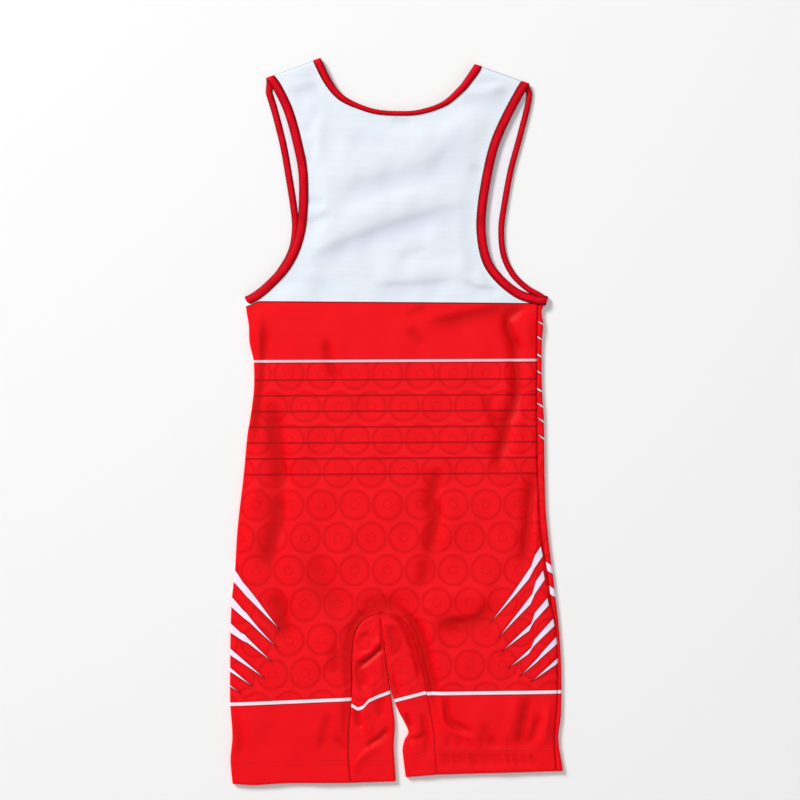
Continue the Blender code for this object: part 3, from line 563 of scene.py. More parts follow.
def strap_end(corner, neck):
    """The strap's end row, from armhole corner to neck corner, where its fold over the shoulder begins."""
    out = outward_of(corner, neck)
    row = mix(np.array(corner), np.array(neck), STRAP_SHARES[:, None])
    inner = row - 2 * out
    back = CLOTH / 2 + fold_radius(inner[:, 0], inner[:, 1])
    return row - out * back[:, None]


def fold_strip(bases, outward, start, end, inset=0.0):
    """The cloth's way round a fold, a row for each base, from one angle over the level to another."""
    x, y = bases[:, :1], bases[:, 1:2]
    high, low = back_z(x, y), front_z(x, y)
    count = QUARTER_TURN * round(abs(start - end) / UP)
    radius = (high - low) / 2 - inset
    turn = np.full_like(radius, end)
    if end == LEVEL:
        turn = np.sign(start) * np.degrees(np.arcsin(SEAM_GAP / 2 / (radius - CLOTH / 2)))
    angle = np.radians(mix(start, turn, steps(count)[None, :]))
    reach, rise = radius * np.cos(angle), radius * np.sin(angle)
    run = radius * np.abs(math.radians(start) - angle)
    u = x + outward[0] * run
    v = print_v(x, y) + outward[1] * run
    return grid_of(x + outward[0] * reach, y + outward[1] * reach, (high + low) / 2 + rise, u, v)


def column_x(left_x, right_x, centre_x):
    left_x, right_x = np.reshape(left_x, (-1, 1)), np.reshape(right_x, (-1, 1))
    centre_x = np.reshape(centre_x, (-1, 1))
    return np.hstack([mix(left_x, centre_x, steps(CENTRE)), mix(centre_x, right_x, steps(CENTRE))[:, 1:]])


def yoke_places(armhole_left, armhole_right, neck, left_x, right_x):
    """From the foot of the straps and the neckline down to the armpits. The last row is straight."""
    y0 = ARMPIT_LEFT.y
    left_edge = on_curve(armhole_left[1:-1] + [(left_x, y0)], steps(YOKE_ROWS))
    right_edge = on_curve(armhole_right[1:-1] + [(right_x, y0)], steps(YOKE_ROWS))
    neckline = on_curve(neck[1:-1], steps(2 * NECK_COLUMNS))
    left_foot = mix(left_edge[0], neckline[0], STRAP_SHARES[:-1, None])
    right_foot = mix(right_edge[0], neckline[-1], STRAP_SHARES[:-1, None])[::-1]
    top = np.vstack([left_foot, neckline, right_foot])
    bottom = column_x(left_x, right_x, x_at(CENTRE_LINE, y0))
    low = (bottom - left_x) / (right_x - left_x)
    high = (top[:, 0] - top[0, 0]) / (top[-1, 0] - top[0, 0])
    left_rise = (left_edge[:, 1:] - y0) / (top[0, 1] - y0)
    right_rise = (right_edge[:, 1:] - y0) / (top[-1, 1] - y0)
    rise = mix(left_rise, right_rise, steps(COLUMNS)[None, :])
    x = mix(left_edge[:, :1], right_edge[:, :1], mix(low, high[None], rise))
    return np.stack([x, mix(y0, top[None, :, 1], rise)], -1)


def body_places(side_at):
    """From the armpits down to the top of the leg arch."""
    y = mix(ARMPIT_LEFT.y, CROWN.y, steps(BODY_ROWS))
    x = column_x(left_base(y), side_at(y), x_at(CENTRE_LINE, y))
    return np.stack([x, np.broadcast_to(y[:, None], x.shape)], -1)


def leg_places(shares, arch, hem_y, side_at):
    """Rows from a leg's side to the arch between the legs. A share is 0 at the crown and 1 at the hem."""
    shares = np.atleast_1d(shares)
    y = mix(CROWN.y, hem_y, shares)
    side = np.stack([side_at(y), y], -1)
    end = on_curve(arch, shares)
    places = mix(side[:, None], end[:, None], steps(CENTRE)[None, :, None])
    x = places[..., 0]
    sag = np.where(x < SAG_X + 65, SAG * np.exp(-((x - SAG_X) / SAG_REACH) ** 2), 0)
    places[..., 1] -= sag * smooth_step((shares[:, None] - 0.8) / 0.2)
    return places


def hem_shares(arch, *up):
    """The shares of a leg at these heights above its hem."""
    return 1 - np.array(up) / (CROWN.y - arch[-1][1])


def turned_up(make_rows, arch):
    """The hem: the cloth goes under itself by half a turn and runs back up inside the leg."""
    rows = []
    for turn in np.radians(np.linspace(0, 180, HEM_TURN + 1)):
        row = make_rows(np.array([1.0]), TURN_UP / 2 * (1 - math.cos(turn)))
        row[..., 1] -= TURN_UP / 2 * math.sin(turn)
        rows.append(row)
    inner = make_rows(hem_shares(arch, *(steps(HEM_ROWS)[1:] * HEM_DEPTH)), TURN_UP)
    return np.vstack(rows + [inner])

# %% [markdown]
# ## Making a sheet
# A sheet is knitted cloth, so it is an open surface that gets its wall from a Solidify modifier, with the
# middle of the wall on the heights above. The grids are joined where they meet. The wall's inner side gets
# the second material, because a printed knit is pale on its wrong side.

# %% The sheet maker
GARMENT = bpy.data.collections.new("singlet")
bpy.context.scene.collection.children.link(GARMENT)
JOIN_WITHIN = 0.02         # points closer than this are one
FULL_SHADE_DEPTH = 2.6         # a crease this deep gets the full painted shade
print("the cloth is joined where points lie within", JOIN_WITHIN, "mm")


def new_piece(name, mesh, materials):
    for material in materials:
        mesh.materials.append(material)
    piece = bpy.data.objects.new(name, mesh)
    GARMENT.objects.link(piece)
    return piece


def apply_modifiers(piece):
    bpy.ops.object.select_all(action="DESELECT")
    piece.select_set(True)
    bpy.context.view_layer.objects.active = piece
    for modifier in list(piece.modifiers):
        bpy.ops.object.modifier_apply(modifier=modifier.name)


def values_of(items, name):
    """Three numbers of each point or face of a mesh."""
    values = np.empty(len(items) * 3, np.float32)
    items.foreach_get(name, values)
    return values.reshape(-1, 3)


def new_mesh(name, points, corners, uv, join=False):
    """A mesh with its UV map, from points, faces of four corners and the print's place at each corner."""
    mesh = bpy.data.meshes.new(name)
    mesh.from_pydata((points * MM).tolist(), [], corners.tolist())
    layer = mesh.uv_layers.new(name="print")
    layer.uv.foreach_set("vector", (uv * MM).astype(np.float32).ravel())
    bm = bmesh.new()
    bm.from_mesh(mesh)
    if join:
        bmesh.ops.remove_doubles(bm, verts=bm.verts, dist=JOIN_WITHIN * MM)
        bmesh.ops.dissolve_degenerate(bm, edges=bm.edges, dist=JOIN_WITHIN / 2 * MM)
    bmesh.ops.recalc_face_normals(bm, faces=bm.faces)
    bm.to_mesh(mesh)
    bm.free()
    return mesh


def open_mesh(name, grids):
    """One mesh from grids that share edges."""
    corners, points, start = [], [], 0
    for grid in grids:
        rows, columns = grid.shape[:2]
        index = start + np.arange(rows * columns).reshape(rows, columns)
        around = [index[:-1, :-1], index[1:, :-1], index[1:, 1:], index[:-1, 1:]]
        corners.append(np.stack(around, -1).reshape(-1, 4))
        points.append(grid.reshape(-1, 5))
        start += rows * columns
    corners, points = np.vstack(corners), np.vstack(points)
    return new_mesh(name, points[:, :3], corners, points[corners.ravel(), 3:], join=True)


def face_away(mesh, place, up):
    """Turns the whole sheet round unless it faces up, or down, near the given place."""
    gaps = np.linalg.norm(values_of(mesh.polygons, "center") - np.array(place) * MM, axis=1)
    facing = [mesh.polygons[i].normal.z for i in np.argsort(gaps)[:8]]
    if np.sum(facing) * up < 0:
        mesh.flip_normals()


def keep_crease_shade(mesh, creases):
    """How deep each point lies in its crease, from 0 to 1, kept with the cloth as the amount of painted shade
    in its colour.
    """
    points = values_of(mesh.vertices, "co") / MM
    depth = np.clip(-crease_height(points[:, 0], points[:, 1], creases) / FULL_SHADE_DEPTH, 0, 1)
    mesh.attributes.new("painted_shade", "FLOAT", "POINT").data.foreach_set("value", depth.astype(np.float32))


def cloth_piece(name, grids, right_side, wrong_side, place, creases, up=1):
    mesh = open_mesh(name, grids)
    # the crease depth, kept for the painted shade in the knit's colour
    keep_crease_shade(mesh, creases)
    face_away(mesh, place, up)
    piece = new_piece(name + "_cloth", mesh, [right_side, wrong_side])
    wall = piece.modifiers.new("wall", "SOLIDIFY")
    wall.thickness = CLOTH * MM
    wall.offset = 0
    wall.material_offset = 1
    apply_modifiers(piece)
    piece.data.shade_smooth()
    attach(piece, "root")
    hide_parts(name)
    print(name, "has", sum(len(face.vertices) - 2 for face in piece.data.polygons), "triangles")
    return piece


# %% [markdown]
# ## Materials: small helpers for nodes
# Every finish below is a Principled shader whose colour comes from a short chain of maths on the cloth's
# own coordinates. A few helpers keep those chains readable: one adds a node, one does a sum, one makes a
# soft edge.

# %% Node helpers
def add_node(kind, inputs=(), tree=None, **settings):
    """A new shader node. Its tree is the one that its inputs come from, unless the tree is given."""
    inputs = dict(inputs)
    linked = [value for value in inputs.values() if isinstance(value, bpy.types.NodeSocket)]
    tree = tree or linked[0].id_data
    node = tree.nodes.new("ShaderNode" + kind)
    for name, value in settings.items():
        setattr(node, name, value)
    for key, value in inputs.items():
        if isinstance(value, bpy.types.NodeSocket):
            tree.links.new(value, node.inputs[key])
        else:
            node.inputs[key].default_value = value
    return node


def calc(operation, *values, clamp=False):
    node = add_node("Math", enumerate(values), operation=operation, use_clamp=clamp)
    return node.outputs[0]


def soft_step(value, low, high):
    """0 below low and 1 above high, or the other way round where low is the larger."""
    node = add_node("MapRange", {"Value": value, "From Min": low, "From Max": high},
                    interpolation_type="SMOOTHSTEP")
    return node.outputs[0]


def soft_band(value, centre, width, soft):
    """1 within a band of this width, with soft edges."""
    away = calc("ABSOLUTE", calc("SUBTRACT", value, centre))
    return soft_step(away, width / 2 + soft / 2, width / 2 - soft / 2)


def blend(factor, under, over):
    node = add_node("Mix", {0: factor, 6: under, 7: over}, data_type="RGBA")
    return node.outputs[2]


def rgb(red, green, blue):
    """A colour given as it looks on a screen, from 0 to 255."""
    def linear(value):
        value /= 255
        return value / 12.92 if value <= 0.04045 else ((value + 0.055) / 1.055) ** 2.4
    return (linear(red), linear(green), linear(blue), 1.0)


def new_material(name, roughness, specular):
    material = bpy.data.materials.new(name)
    material.use_nodes = True
    tree = material.node_tree
    shader = tree.nodes["Principled BSDF"]
    shader.inputs["Roughness"].default_value = roughness
    shader.inputs["Specular IOR Level"].default_value = specular
    return material, tree, shader


def finish(tree, shader, colour, factor, normal):
    """Gives the finish its colour, made darker by the factor, and its relief."""
    shade = add_node("VectorMath", {0: colour, "Scale": factor}, operation="SCALE").outputs[0]
    tree.links.new(shade, shader.inputs["Base Color"])
    tree.links.new(normal, shader.inputs["Normal"])


def stretched(place, across, up):
    """The place with different scales across and up, for noise that is longer one way."""
    node = add_node("Mapping", {"Vector": place, "Scale": (across, up, 1.0)}, vector_type="POINT")
    return node.outputs[0]


def spread(value, from_low, from_high, low, high):
    """The value moved from one range to another."""
    inputs = {"Value": value, "From Min": from_low, "From Max": from_high, "To Min": low, "To Max": high}
    return add_node("MapRange", inputs).outputs[0]


def noise(place, detail, roughness=0.5, scale=1.0):
    inputs = {"Vector": place, "Scale": scale, "Detail": detail, "Roughness": roughness}
    return add_node("TexNoise", inputs).outputs[0]


def cloth_place(tree):
    """The cloth's own coordinates in millimetres: across, up, and both as one vector."""
    uv = add_node("UVMap", tree=tree, uv_map="print").outputs[0]
    scaled = add_node("VectorMath", {0: uv, 1: (1000, 1000, 1000)}, operation="MULTIPLY").outputs[0]
    split = add_node("SeparateXYZ", {0: scaled})
    return split.outputs[0], split.outputs[1], scaled


print("a mid grey on the screen is", round(rgb(128, 128, 128)[0], 3), "of white's light")

# %% [markdown]
# ## The knit
# The cloth is a fine stretch knit with a satin face. What one sees of the stitches is a faint streak along
# the rows, because every row of yarn is a shade different, and a very small ribbed relief. Both come from
# noise that is stretched along the rows, and from two sine waves as wide as a stitch.

# %% The knit's streaks and relief
STITCH_ACROSS = 0.9
STITCH_UP = 0.75
print("a knit stitch is", STITCH_ACROSS, "by", STITCH_UP, "mm")


def knit_streaks(place, low, high):
    """A factor close to 1 that varies from row to row."""
    fine = noise(stretched(place, 0.012, 0.55), 3.0, 0.6)
    slow = noise(stretched(place, 0.004, 0.10), 2.0)
    both = calc("MULTIPLY_ADD", fine, 0.65, calc("MULTIPLY", slow, 0.35))
    return spread(both, 0.36, 0.64, low, high)


def knit_relief(u, v, streaks, strength):
    """A normal for the shader: the ribs of the knit and the unevenness of its rows."""
    across = calc("SINE", calc("MULTIPLY", u, 2 * math.pi / STITCH_ACROSS))
    rows = calc("SINE", calc("MULTIPLY", v, 2 * math.pi / STITCH_UP))
    stitch = calc("MULTIPLY_ADD", across, rows, calc("MULTIPLY", streaks, 2.0))
    bump = add_node("Bump", {"Strength": strength, "Distance": 0.08 * MM, "Height": stitch})
    return bump.outputs[0]

# %% [markdown]
# ## The print
# The pattern is white shoulders over a red body, a thin white line round the chest and each leg, dark lines
# round the waist, rings in a staggered grid, and slashes that taper from the side seams. Each is one mask:
# a number that is 1 inside the figure. A ring is a band of distances from the middle of its cell, and the
# small hexagon in it is the same idea with six straight sides.

# %% Colours and sizes of the print
WHITE = rgb(238, 245, 253)
RED = rgb(251, 8, 22)
GROUND_RED = rgb(254, 16, 30)
RING_RED = rgb(218, 0, 8)
WINE = rgb(182, 0, 12)
PRINT_WHITE = rgb(255, 196, 208)
LEG_WHITE = rgb(255, 234, 244)
KEYLINE = rgb(128, 0, 22)
SLASH_WHITE = rgb(255, 236, 255)
SHADED_CREASE_RED = rgb(206, 0, 2)
SHADED_CREASE_WHITE = rgb(216, 219, 236)

WHITE_FROM = 138.0         # the height where the white shoulders begin
CHEST_LINE = 70.0
LEG_LINE = -319.7
LINE_WIDTH = 3.0
LEG_LINE_WIDTH = 3.9
WINE_TOP = 48.1
WINE_PITCH = 18.25
WINE_COUNT = 7
WINE_WIDTH = 2.4
RING_U = -10.4             # middle of a ring in the top row
RING_TOP = 55.0
RING_PITCH_U = 38.1
RING_PITCH_V = 38.0
RING_RADIUS = 16.9
RING_STROKE = 3.2
RING_SOFT = 3.6            # how wide the fading edge of a ring is
HEXAGON = 4.6              # from its middle to a side
HEXAGON_STROKE = 1.5
HEXAGON_SOFT = 1.2
print("the rings are", 2 * RING_RADIUS + RING_STROKE, "mm across,", RING_PITCH_U, "mm apart")

# %% [markdown]
# The rings lie in rows, and every second row is moved by half a pitch. So the height first says which row a
# place is in, the row says how far to move, and what is left over is the place inside one cell. The waist
# lines need only the height.

# %% Masks of the print
def cells(far, near, pitch):
    """How many cells lie between two places. The first place is in the middle of its cell."""
    return calc("MULTIPLY_ADD", calc("SUBTRACT", far, near), 1 / pitch, 0.5)


def from_middle(cell, pitch):
    """The distance from the middle of the cell that a place lies in."""
    return calc("MULTIPLY", calc("SUBTRACT", calc("FRACT", cell), 0.5), pitch)


def ring_masks(u, v):
    """The ring strokes with their hexagons, and the ground between the rings."""
    row_place = cells(RING_TOP, v, RING_PITCH_V)
    odd = calc("FLOORED_MODULO", calc("FLOOR", row_place), 2.0)
    column = calc("MULTIPLY_ADD", odd, 0.5, cells(u, RING_U, RING_PITCH_U))
    x, y = from_middle(column, RING_PITCH_U), from_middle(row_place, RING_PITCH_V)
    radius = calc("SQRT", calc("ADD", calc("POWER", x, 2.0), calc("POWER", y, 2.0)))
    stroke = soft_band(radius, RING_RADIUS, RING_STROKE, RING_SOFT)
    wide, high = calc("ABSOLUTE", x), calc("ABSOLUTE", y)
    slant = calc("MULTIPLY_ADD", high, math.cos(math.radians(30)), calc("MULTIPLY", wide, 0.5))
    hexagon = soft_band(calc("MAXIMUM", slant, wide), HEXAGON, HEXAGON_STROKE, HEXAGON_SOFT)
    ground = soft_step(radius, RING_RADIUS, RING_RADIUS + 3)
    over_leg, under_chest = soft_step(v, LEG_LINE + 3, LEG_LINE + 5), soft_step(v, CHEST_LINE, CHEST_LINE - 2)
    zone = calc("MULTIPLY", over_leg, under_chest)
    strokes = calc("MULTIPLY_ADD", hexagon, 0.75, stroke, clamp=True)
    return calc("MULTIPLY", strokes, zone), calc("MULTIPLY", ground, zone)


def wine_mask(v):
    """The dark lines round the waist."""
    place = cells(WINE_TOP, v, WINE_PITCH)
    zone = calc("MULTIPLY", calc("GREATER_THAN", place, 0.0), calc("LESS_THAN", place, float(WINE_COUNT)))
    return calc("MULTIPLY", soft_band(from_middle(place, WINE_PITCH), 0.0, WINE_WIDTH, 0.9), zone)


print("the waist has", WINE_COUNT, "dark lines,", WINE_PITCH, "mm apart")

# %% [markdown]
# A slash starts at the side seam, jogs down a little and ends in a long point, as if torn. All of them are
# drawn by one function from seven sizes, and get shorter down the leg. The upper and the lower edge are two
# curves over the way in from the seam. A Float Curve node holds each, with straight handles, because the
# edges are angular. The number that comes out is how deep a place lies inside the nearest slash, so one
# soft step gives the slash and another gives the thin dark line round it.

# %% The slashes
Slash = namedtuple("Slash", "top bottom")
# the upper corner of its root, the root's height, how far in and down its tip lies,
# how far it jogs, and where
Stroke = namedtuple("Stroke", "x y height reach fall jog place")

RIGHT_STROKES = [
    Stroke(167.5, -144.5, 12.0, 58, 89, 6.0, 0.12),
    Stroke(170.0, -172.5, 11.0, 51, 78, 8.0, 0.17),
    Stroke(175.0, -204.5, 9.0, 52, 62, 7.5, 0.28),
    Stroke(182.0, -228.5, 9.0, 52, 58, 5.0, 0.42),
    Stroke(185.5, -249.5, 8.5, 42, 46, 1.0, 0.40),
    Stroke(188.5, -273.0, 6.5, 32, 29, 0.0, 0.40),
]
LEFT_STROKES = [
    Stroke(-200, -156.0, 19.5, 64, 85, 1.5, 0.25),
    Stroke(-200, -194.0, 15.0, 61, 68, -1.0, 0.35),
    Stroke(-200, -226.5, 14.0, 55, 52, -2.0, 0.35),
    Stroke(-200, -257.0, 10.0, 47, 41, 0.0, 0.40),
    Stroke(-200, -279.5, 7.0, 33, 28, 0.0, 0.40),
    Stroke(-200, -300.5, 3.5, 19, 15, 0.0, 0.40),
]
SEAM_LEAN = 0.2            # the right seam goes out as much for each millimetre down


def drawn_slash(stroke, side, lean):
    """A slash from its sizes. The side is 1 where it starts at the right seam, and -1 at the left."""
    tip = (stroke.x - side * stroke.reach, stroke.y - stroke.fall)

    def edge(x, y, bends):
        return [(mix(x, tip[0], share), mix(y, tip[1], share) - stroke.jog * part) for share, part in bends]

    top = edge(stroke.x, stroke.y, [(0, 0), (stroke.place, 0), (stroke.place + 0.08, 1), (1, 0)])
    bottom = edge(stroke.x + lean * stroke.height, stroke.y - stroke.height,
                  [(0, 0), (stroke.place + 0.05, 0.3), (stroke.place + 0.15, 1)])
    return Slash(top, bottom)


RIGHT_SLASHES = [drawn_slash(stroke, 1, SEAM_LEAN) for stroke in RIGHT_STROKES]
LEFT_SLASHES = [drawn_slash(stroke, -1, 0.0) for stroke in LEFT_STROKES]
FRONT_SLASH = Slash([(190.8, -160.5), (184.4, -165.2), (170, -181), (156, -200), (134, -232)],
                    [(189.0, -173.5), (182.5, -178.5), (170, -190.5), (157, -205)])
FRONT_HIP_SHIFTS = [(0, 0), (2.3, -28.3), (-4, -58.5), (-4, -84), (-4, -104), (-4, -121)]
WAIST_SLASH = Slash([(180.2, 0), (174, -3.6), (162, -10.5), (146, -22)],
                    [(179.8, -0.8), (173.5, -6.6), (161, -14.0)])
WAIST_TOPS = [118, 101, 81, 61, 40.5, 22, 4, -16]
WAIST_WIDTHS = [0.9, 0.8, 0.9, 0.7, 1.0, 1.1, 1.2, 1.2]


def moved(slash, across, up, mirror=1, size=1.0):
    """The slash at another place, mirrored with -1, with a different size measured from its upper corner."""
    x0, y0 = slash.top[0]

    def placed(points):
        return [(mirror * (x0 + across + (x - x0) * size), y0 + up + (y - y0) * size) for x, y in points]
    return Slash(placed(slash.top), placed(slash.bottom))


def front_slashes():
    sizes = [1.0, 1.0, 0.85, 0.7, 0.55, 0.4]
    made = [moved(FRONT_SLASH, across, up, mirror, size)
            for (across, up), size in zip(FRONT_HIP_SHIFTS, sizes) for mirror in (1, -1)]
    made += [moved(WAIST_SLASH, 0, up, mirror, size)
             for up, size in zip(WAIST_TOPS, WAIST_WIDTHS) for mirror in (1, -1)]
    return made


def edge_curve(share, points):
    node = add_node("FloatCurve", {"Value": share})
    curve = node.mapping.curves[0]
    for _ in points[2:]:
        curve.points.new(0.5, 0.5)
    for made, wanted in zip(curve.points, sorted(points)):
        made.location = wanted
        made.handle_type = "VECTOR"
    node.mapping.update()
    return node.outputs[0]


def slash_depth(u, v, slashes):
    """How far a place is inside the nearest slash, in millimetres, and under 0 outside them all."""
    deepest = None
    for slash in slashes:
        root, tip = slash.top[0], slash.top[-1]
        lean = (slash.bottom[0][0] - root[0]) / (slash.bottom[0][1] - root[1])
        way_in = (tip[0] - root[0]) - lean * (tip[1] - root[1])
        slanted = calc("MULTIPLY_ADD", v, -lean, u)
        share = calc("MULTIPLY_ADD", slanted, 1 / way_in, -(root[0] - lean * root[1]) / way_in)
        fall = tip[1] - root[1]

        def edge(points):
            known = [(((x - root[0]) - lean * (y - root[1])) / way_in, (y - root[1]) / fall)
                     for x, y in points]
            return calc("MULTIPLY_ADD", edge_curve(share, known), fall, root[1])

        below_top = calc("SUBTRACT", edge(slash.top), v)
        over_bottom = calc("SUBTRACT", v, edge(slash.bottom + [tip]))
        from_root = calc("MULTIPLY", share, abs(way_in))
        depth = calc("MINIMUM", calc("MINIMUM", below_top, over_bottom), from_root)
        depth = calc("MINIMUM", depth, calc("SUBTRACT", abs(way_in), from_root))
        deepest = depth if deepest is None else calc("MAXIMUM", deepest, depth)
    return deepest


def on_print(slash):
    """A slash of the back, given where it lies on the table, in the print's own coordinates."""
    return Slash(*([(x, float(print_v(x, y))) for x, y in points] for points in slash))


BACK_SLASHES = [on_print(slash) for slash in RIGHT_SLASHES + LEFT_SLASHES]
print(len(BACK_SLASHES), "slashes on the back,", len(front_slashes()), "on the front")

# %% [markdown]
# Where the two straps meet over the shoulder they are sewn edge to edge. A fine grey line is painted along
# the fold: partly the seam, and partly painted shade at the edge of the fold. It is drawn where a place lies
# far enough out of the garment, past the shoulder's own line. That is one dot product with the direction in
# which the strap leaves, and it reads the piece's Object coordinates.

# %% The shoulder seams and their painted shade
SHOULDER_SEAM_SHADE_GREY = rgb(120, 122, 132)


def shoulder_seam_and_shade(tree):
    """1 along the fold over each shoulder."""
    place = add_node("TexCoord", tree=tree).outputs["Object"]
    lines = []
    for corner, neck in ((SHOULDER_LEFT, NECK_LEFT), (SHOULDER_RIGHT, NECK_RIGHT)):
        out = outward_of(corner, neck)
        edge = float(out @ np.array(corner)) * MM
        beyond = add_node("VectorMath", {0: place, 1: (out[0], out[1], 0)}, operation="DOT_PRODUCT")
        lines.append(soft_step(beyond.outputs["Value"], edge - 1.2 * MM, edge - 0.7 * MM))
    return calc("MAXIMUM", *lines)


print("the straps leave towards", outward_of(SHOULDER_LEFT, NECK_LEFT).round(2), "and",
      outward_of(SHOULDER_RIGHT, NECK_RIGHT).round(2))

# %% [markdown]
# The print is built up as a printer would lay it down: the red ground first, then the rings, the dark lines,
# the white lines with their thin dark edges, the slashes, and last the white of the shoulders. Painted shade
# is mixed in as well: the deepest part of each crease is coloured a darker red, or a greyer white on the
# shoulders, and a grey line over each shoulder fold is partly the seam and partly painted shade. Gloss and
# relief stay the same all over.

# %% The printed knit
def printed_knit(name, slashes, has_lines, ring_strength=1.0):
    material, tree, shader = new_material(name, roughness=0.36, specular=0.10)
    u, v, place = cloth_place(tree)
    strokes, ground = ring_masks(u, v)
    colour = blend(calc("MULTIPLY", ground, 0.6), RED, GROUND_RED)
    colour = blend(calc("MULTIPLY", strokes, 0.62 * ring_strength), colour, RING_RED)
    # painted shade: the deepest part of each crease is coloured a darker red, and a greyer white on the
    # shoulders
    painted_shade = add_node("Attribute", tree=tree, attribute_name="painted_shade").outputs["Fac"]
    colour = blend(calc("MULTIPLY", painted_shade, 0.8), colour, SHADED_CREASE_RED)
    white_with_shade = blend(calc("MULTIPLY", painted_shade, 0.9), WHITE, SHADED_CREASE_WHITE)
    lines = soft_band(v, LEG_LINE, LEG_LINE_WIDTH, 0.7)
    keylines = soft_band(v, LEG_LINE, LEG_LINE_WIDTH + 2.4, 1.0)
    if has_lines:
        colour = blend(calc("MULTIPLY", wine_mask(v), 0.85), colour, WINE)
        lines = calc("MAXIMUM", lines, soft_band(v, CHEST_LINE, LINE_WIDTH, 0.7))
        keylines = calc("MAXIMUM", keylines, soft_band(v, CHEST_LINE - 0.4, LINE_WIDTH + 2.6, 1.0))
    colour = blend(calc("MULTIPLY", keylines, 0.6), colour, KEYLINE)
    colour = blend(lines, colour, blend(soft_step(v, 0, 40), LEG_WHITE, PRINT_WHITE))
    if slashes:
        depth = slash_depth(u, v, slashes)
        near = soft_step(depth, -7.0, -1.0)
        colour = blend(calc("MULTIPLY", near, 0.35), colour, RING_RED)
        colour = blend(calc("MULTIPLY", soft_step(depth, -1.5, -0.2), 0.85), colour, KEYLINE)
        colour = blend(soft_step(depth, 0.0, 0.9), colour, SLASH_WHITE)
    colour = blend(soft_step(v, WHITE_FROM - 2.2, WHITE_FROM - 0.6), colour, KEYLINE)
    colour = blend(soft_step(v, WHITE_FROM - 0.35, WHITE_FROM + 0.35), colour, white_with_shade)
    # a grey line over each shoulder fold: partly the seam, partly painted shade
    colour = blend(calc("MULTIPLY", shoulder_seam_and_shade(tree), 0.8), colour, SHOULDER_SEAM_SHADE_GREY)
    streaks = knit_streaks(place, 0.955, 1.0)
    finish(tree, shader, colour, streaks, knit_relief(u, v, streaks, 0.35))
    return material


def wrong_side_knit():
    """The inside of the printed knit: white, with a breath of the red showing through below the shoulders."""
    material, tree, shader = new_material("knit_wrong_side", roughness=0.7, specular=0.2)
    u, v, place = cloth_place(tree)
    through = soft_step(v, WHITE_FROM + 3, WHITE_FROM - 3)
    colour = blend(through, rgb(252, 247, 254), rgb(242, 176, 184))
    streaks = knit_streaks(place, 0.96, 1.0)
    finish(tree, shader, colour, streaks, knit_relief(u, v, streaks, 0.5))
    return material


KNIT_BACK = printed_knit("knit_back", BACK_SLASHES, has_lines=True)
KNIT_FRONT = printed_knit("knit_front", front_slashes(), has_lines=False)
KNIT_INNER = printed_knit("knit_inner_leg", [], has_lines=False, ring_strength=0.6)
KNIT_WRONG = wrong_side_knit()
print("knits:", KNIT_BACK.name, KNIT_FRONT.name, KNIT_INNER.name, KNIT_WRONG.name)

# %% [markdown]
# ## The two panels
# Both panels have the same parts, so one function makes them. The back stops at the side seams. The front
# also goes round the right side and on to the upper face, where its seam shows: that is why a strip beside
# the seam has the front's slashes on it and not the back's lines.

# %% The grids of the back and the front
LEFT, RIGHT = np.array([-1.0, 0.0]), np.array([1.0, 0.0])
LEG_SHARES = steps(LEG_ROWS)
FLAP_COLUMNS = 4
print("a leg has", LEG_ROWS, "rows above its hem")


def strap_places(end, foot):
    return mix(end[None], foot[None], steps(STRAP_ROWS)[:, None, None])


def panel_grids(side_at, armhole_left, armhole_right, neck, put, start):
    """The grids that both panels have. A fold strip goes a quarter turn, from this angle to its seam."""
    yoke = yoke_places(armhole_left, armhole_right, neck, left_base(ARMPIT_LEFT.y), side_at(ARMPIT_LEFT.y))
    body = body_places(side_at)
    end_left, end_right = strap_end(SHOULDER_LEFT, NECK_LEFT), strap_end(SHOULDER_RIGHT, NECK_RIGHT)
    out_left = outward_of(SHOULDER_LEFT, NECK_LEFT)
    out_right = outward_of(SHOULDER_RIGHT, NECK_RIGHT)

    def left_leg(shares, inset=0.0):
        return put(leg_places(shares, ARCH_LEFT, HEM_LEFT_Y, left_base), inset)

    def right_leg(shares, inset=0.0):
        return put(leg_places(shares, ARCH_RIGHT, HEM_RIGHT_Y, side_at), inset)

    def left_leg_side(shares, inset=0.0):
        bases = leg_places(shares, ARCH_LEFT, HEM_LEFT_Y, left_base)[:, 0]
        return fold_strip(bases, LEFT, start, LEVEL, inset)

    return {
        "yoke": put(yoke), "body": put(body), "left": fold_strip(body[:, 0], LEFT, start, LEVEL),
        "upper_left": put(strap_places(end_left, yoke[0, :STRAP_COLUMNS + 1])),
        "upper_right": put(strap_places(end_right, yoke[0, :-STRAP_COLUMNS - 2:-1])),
        "strap_left": fold_strip(end_left, out_left, start, LEVEL),
        "strap_right": fold_strip(end_right, out_right, start, LEVEL),
        "leg_left": left_leg(LEG_SHARES), "leg_right": right_leg(LEG_SHARES),
        "leg_left_side": left_leg_side(LEG_SHARES), "hem_left": turned_up(left_leg, ARCH_LEFT),
        "hem_right": turned_up(right_leg, ARCH_RIGHT), "hem_left_side": turned_up(left_leg_side, ARCH_LEFT),
    }


def wrap_round(bases, inset=0.0):
    """The front's cloth round the right side fold and on to its seam on the upper face."""
    fold = fold_strip(bases, RIGHT, DOWN, UP, inset)
    x, y = bases[:, :1], bases[:, 1:]
    over = mix(x, x_at(RIGHT_SEAM, y) + SEAM_GAP / 2, steps(FLAP_COLUMNS)[None, 1:])
    flap = on_back(np.stack(np.broadcast_arrays(over, y), -1), inset)
    flap[..., 3] = fold[:, -1:, 3] + x - over
    return np.hstack([fold, flap])


def leg_wrap(shares, inset=0.0):
    return wrap_round(leg_places(shares, ARCH_RIGHT, HEM_RIGHT_Y, right_base)[:, 0], inset)

# %% [markdown]
# With the grids described, making the two panels is short. The back is put at the back's heights and its
# folds start upward. The front lies on the table, its folds start downward, and it also gets its wrap round
# the right side.

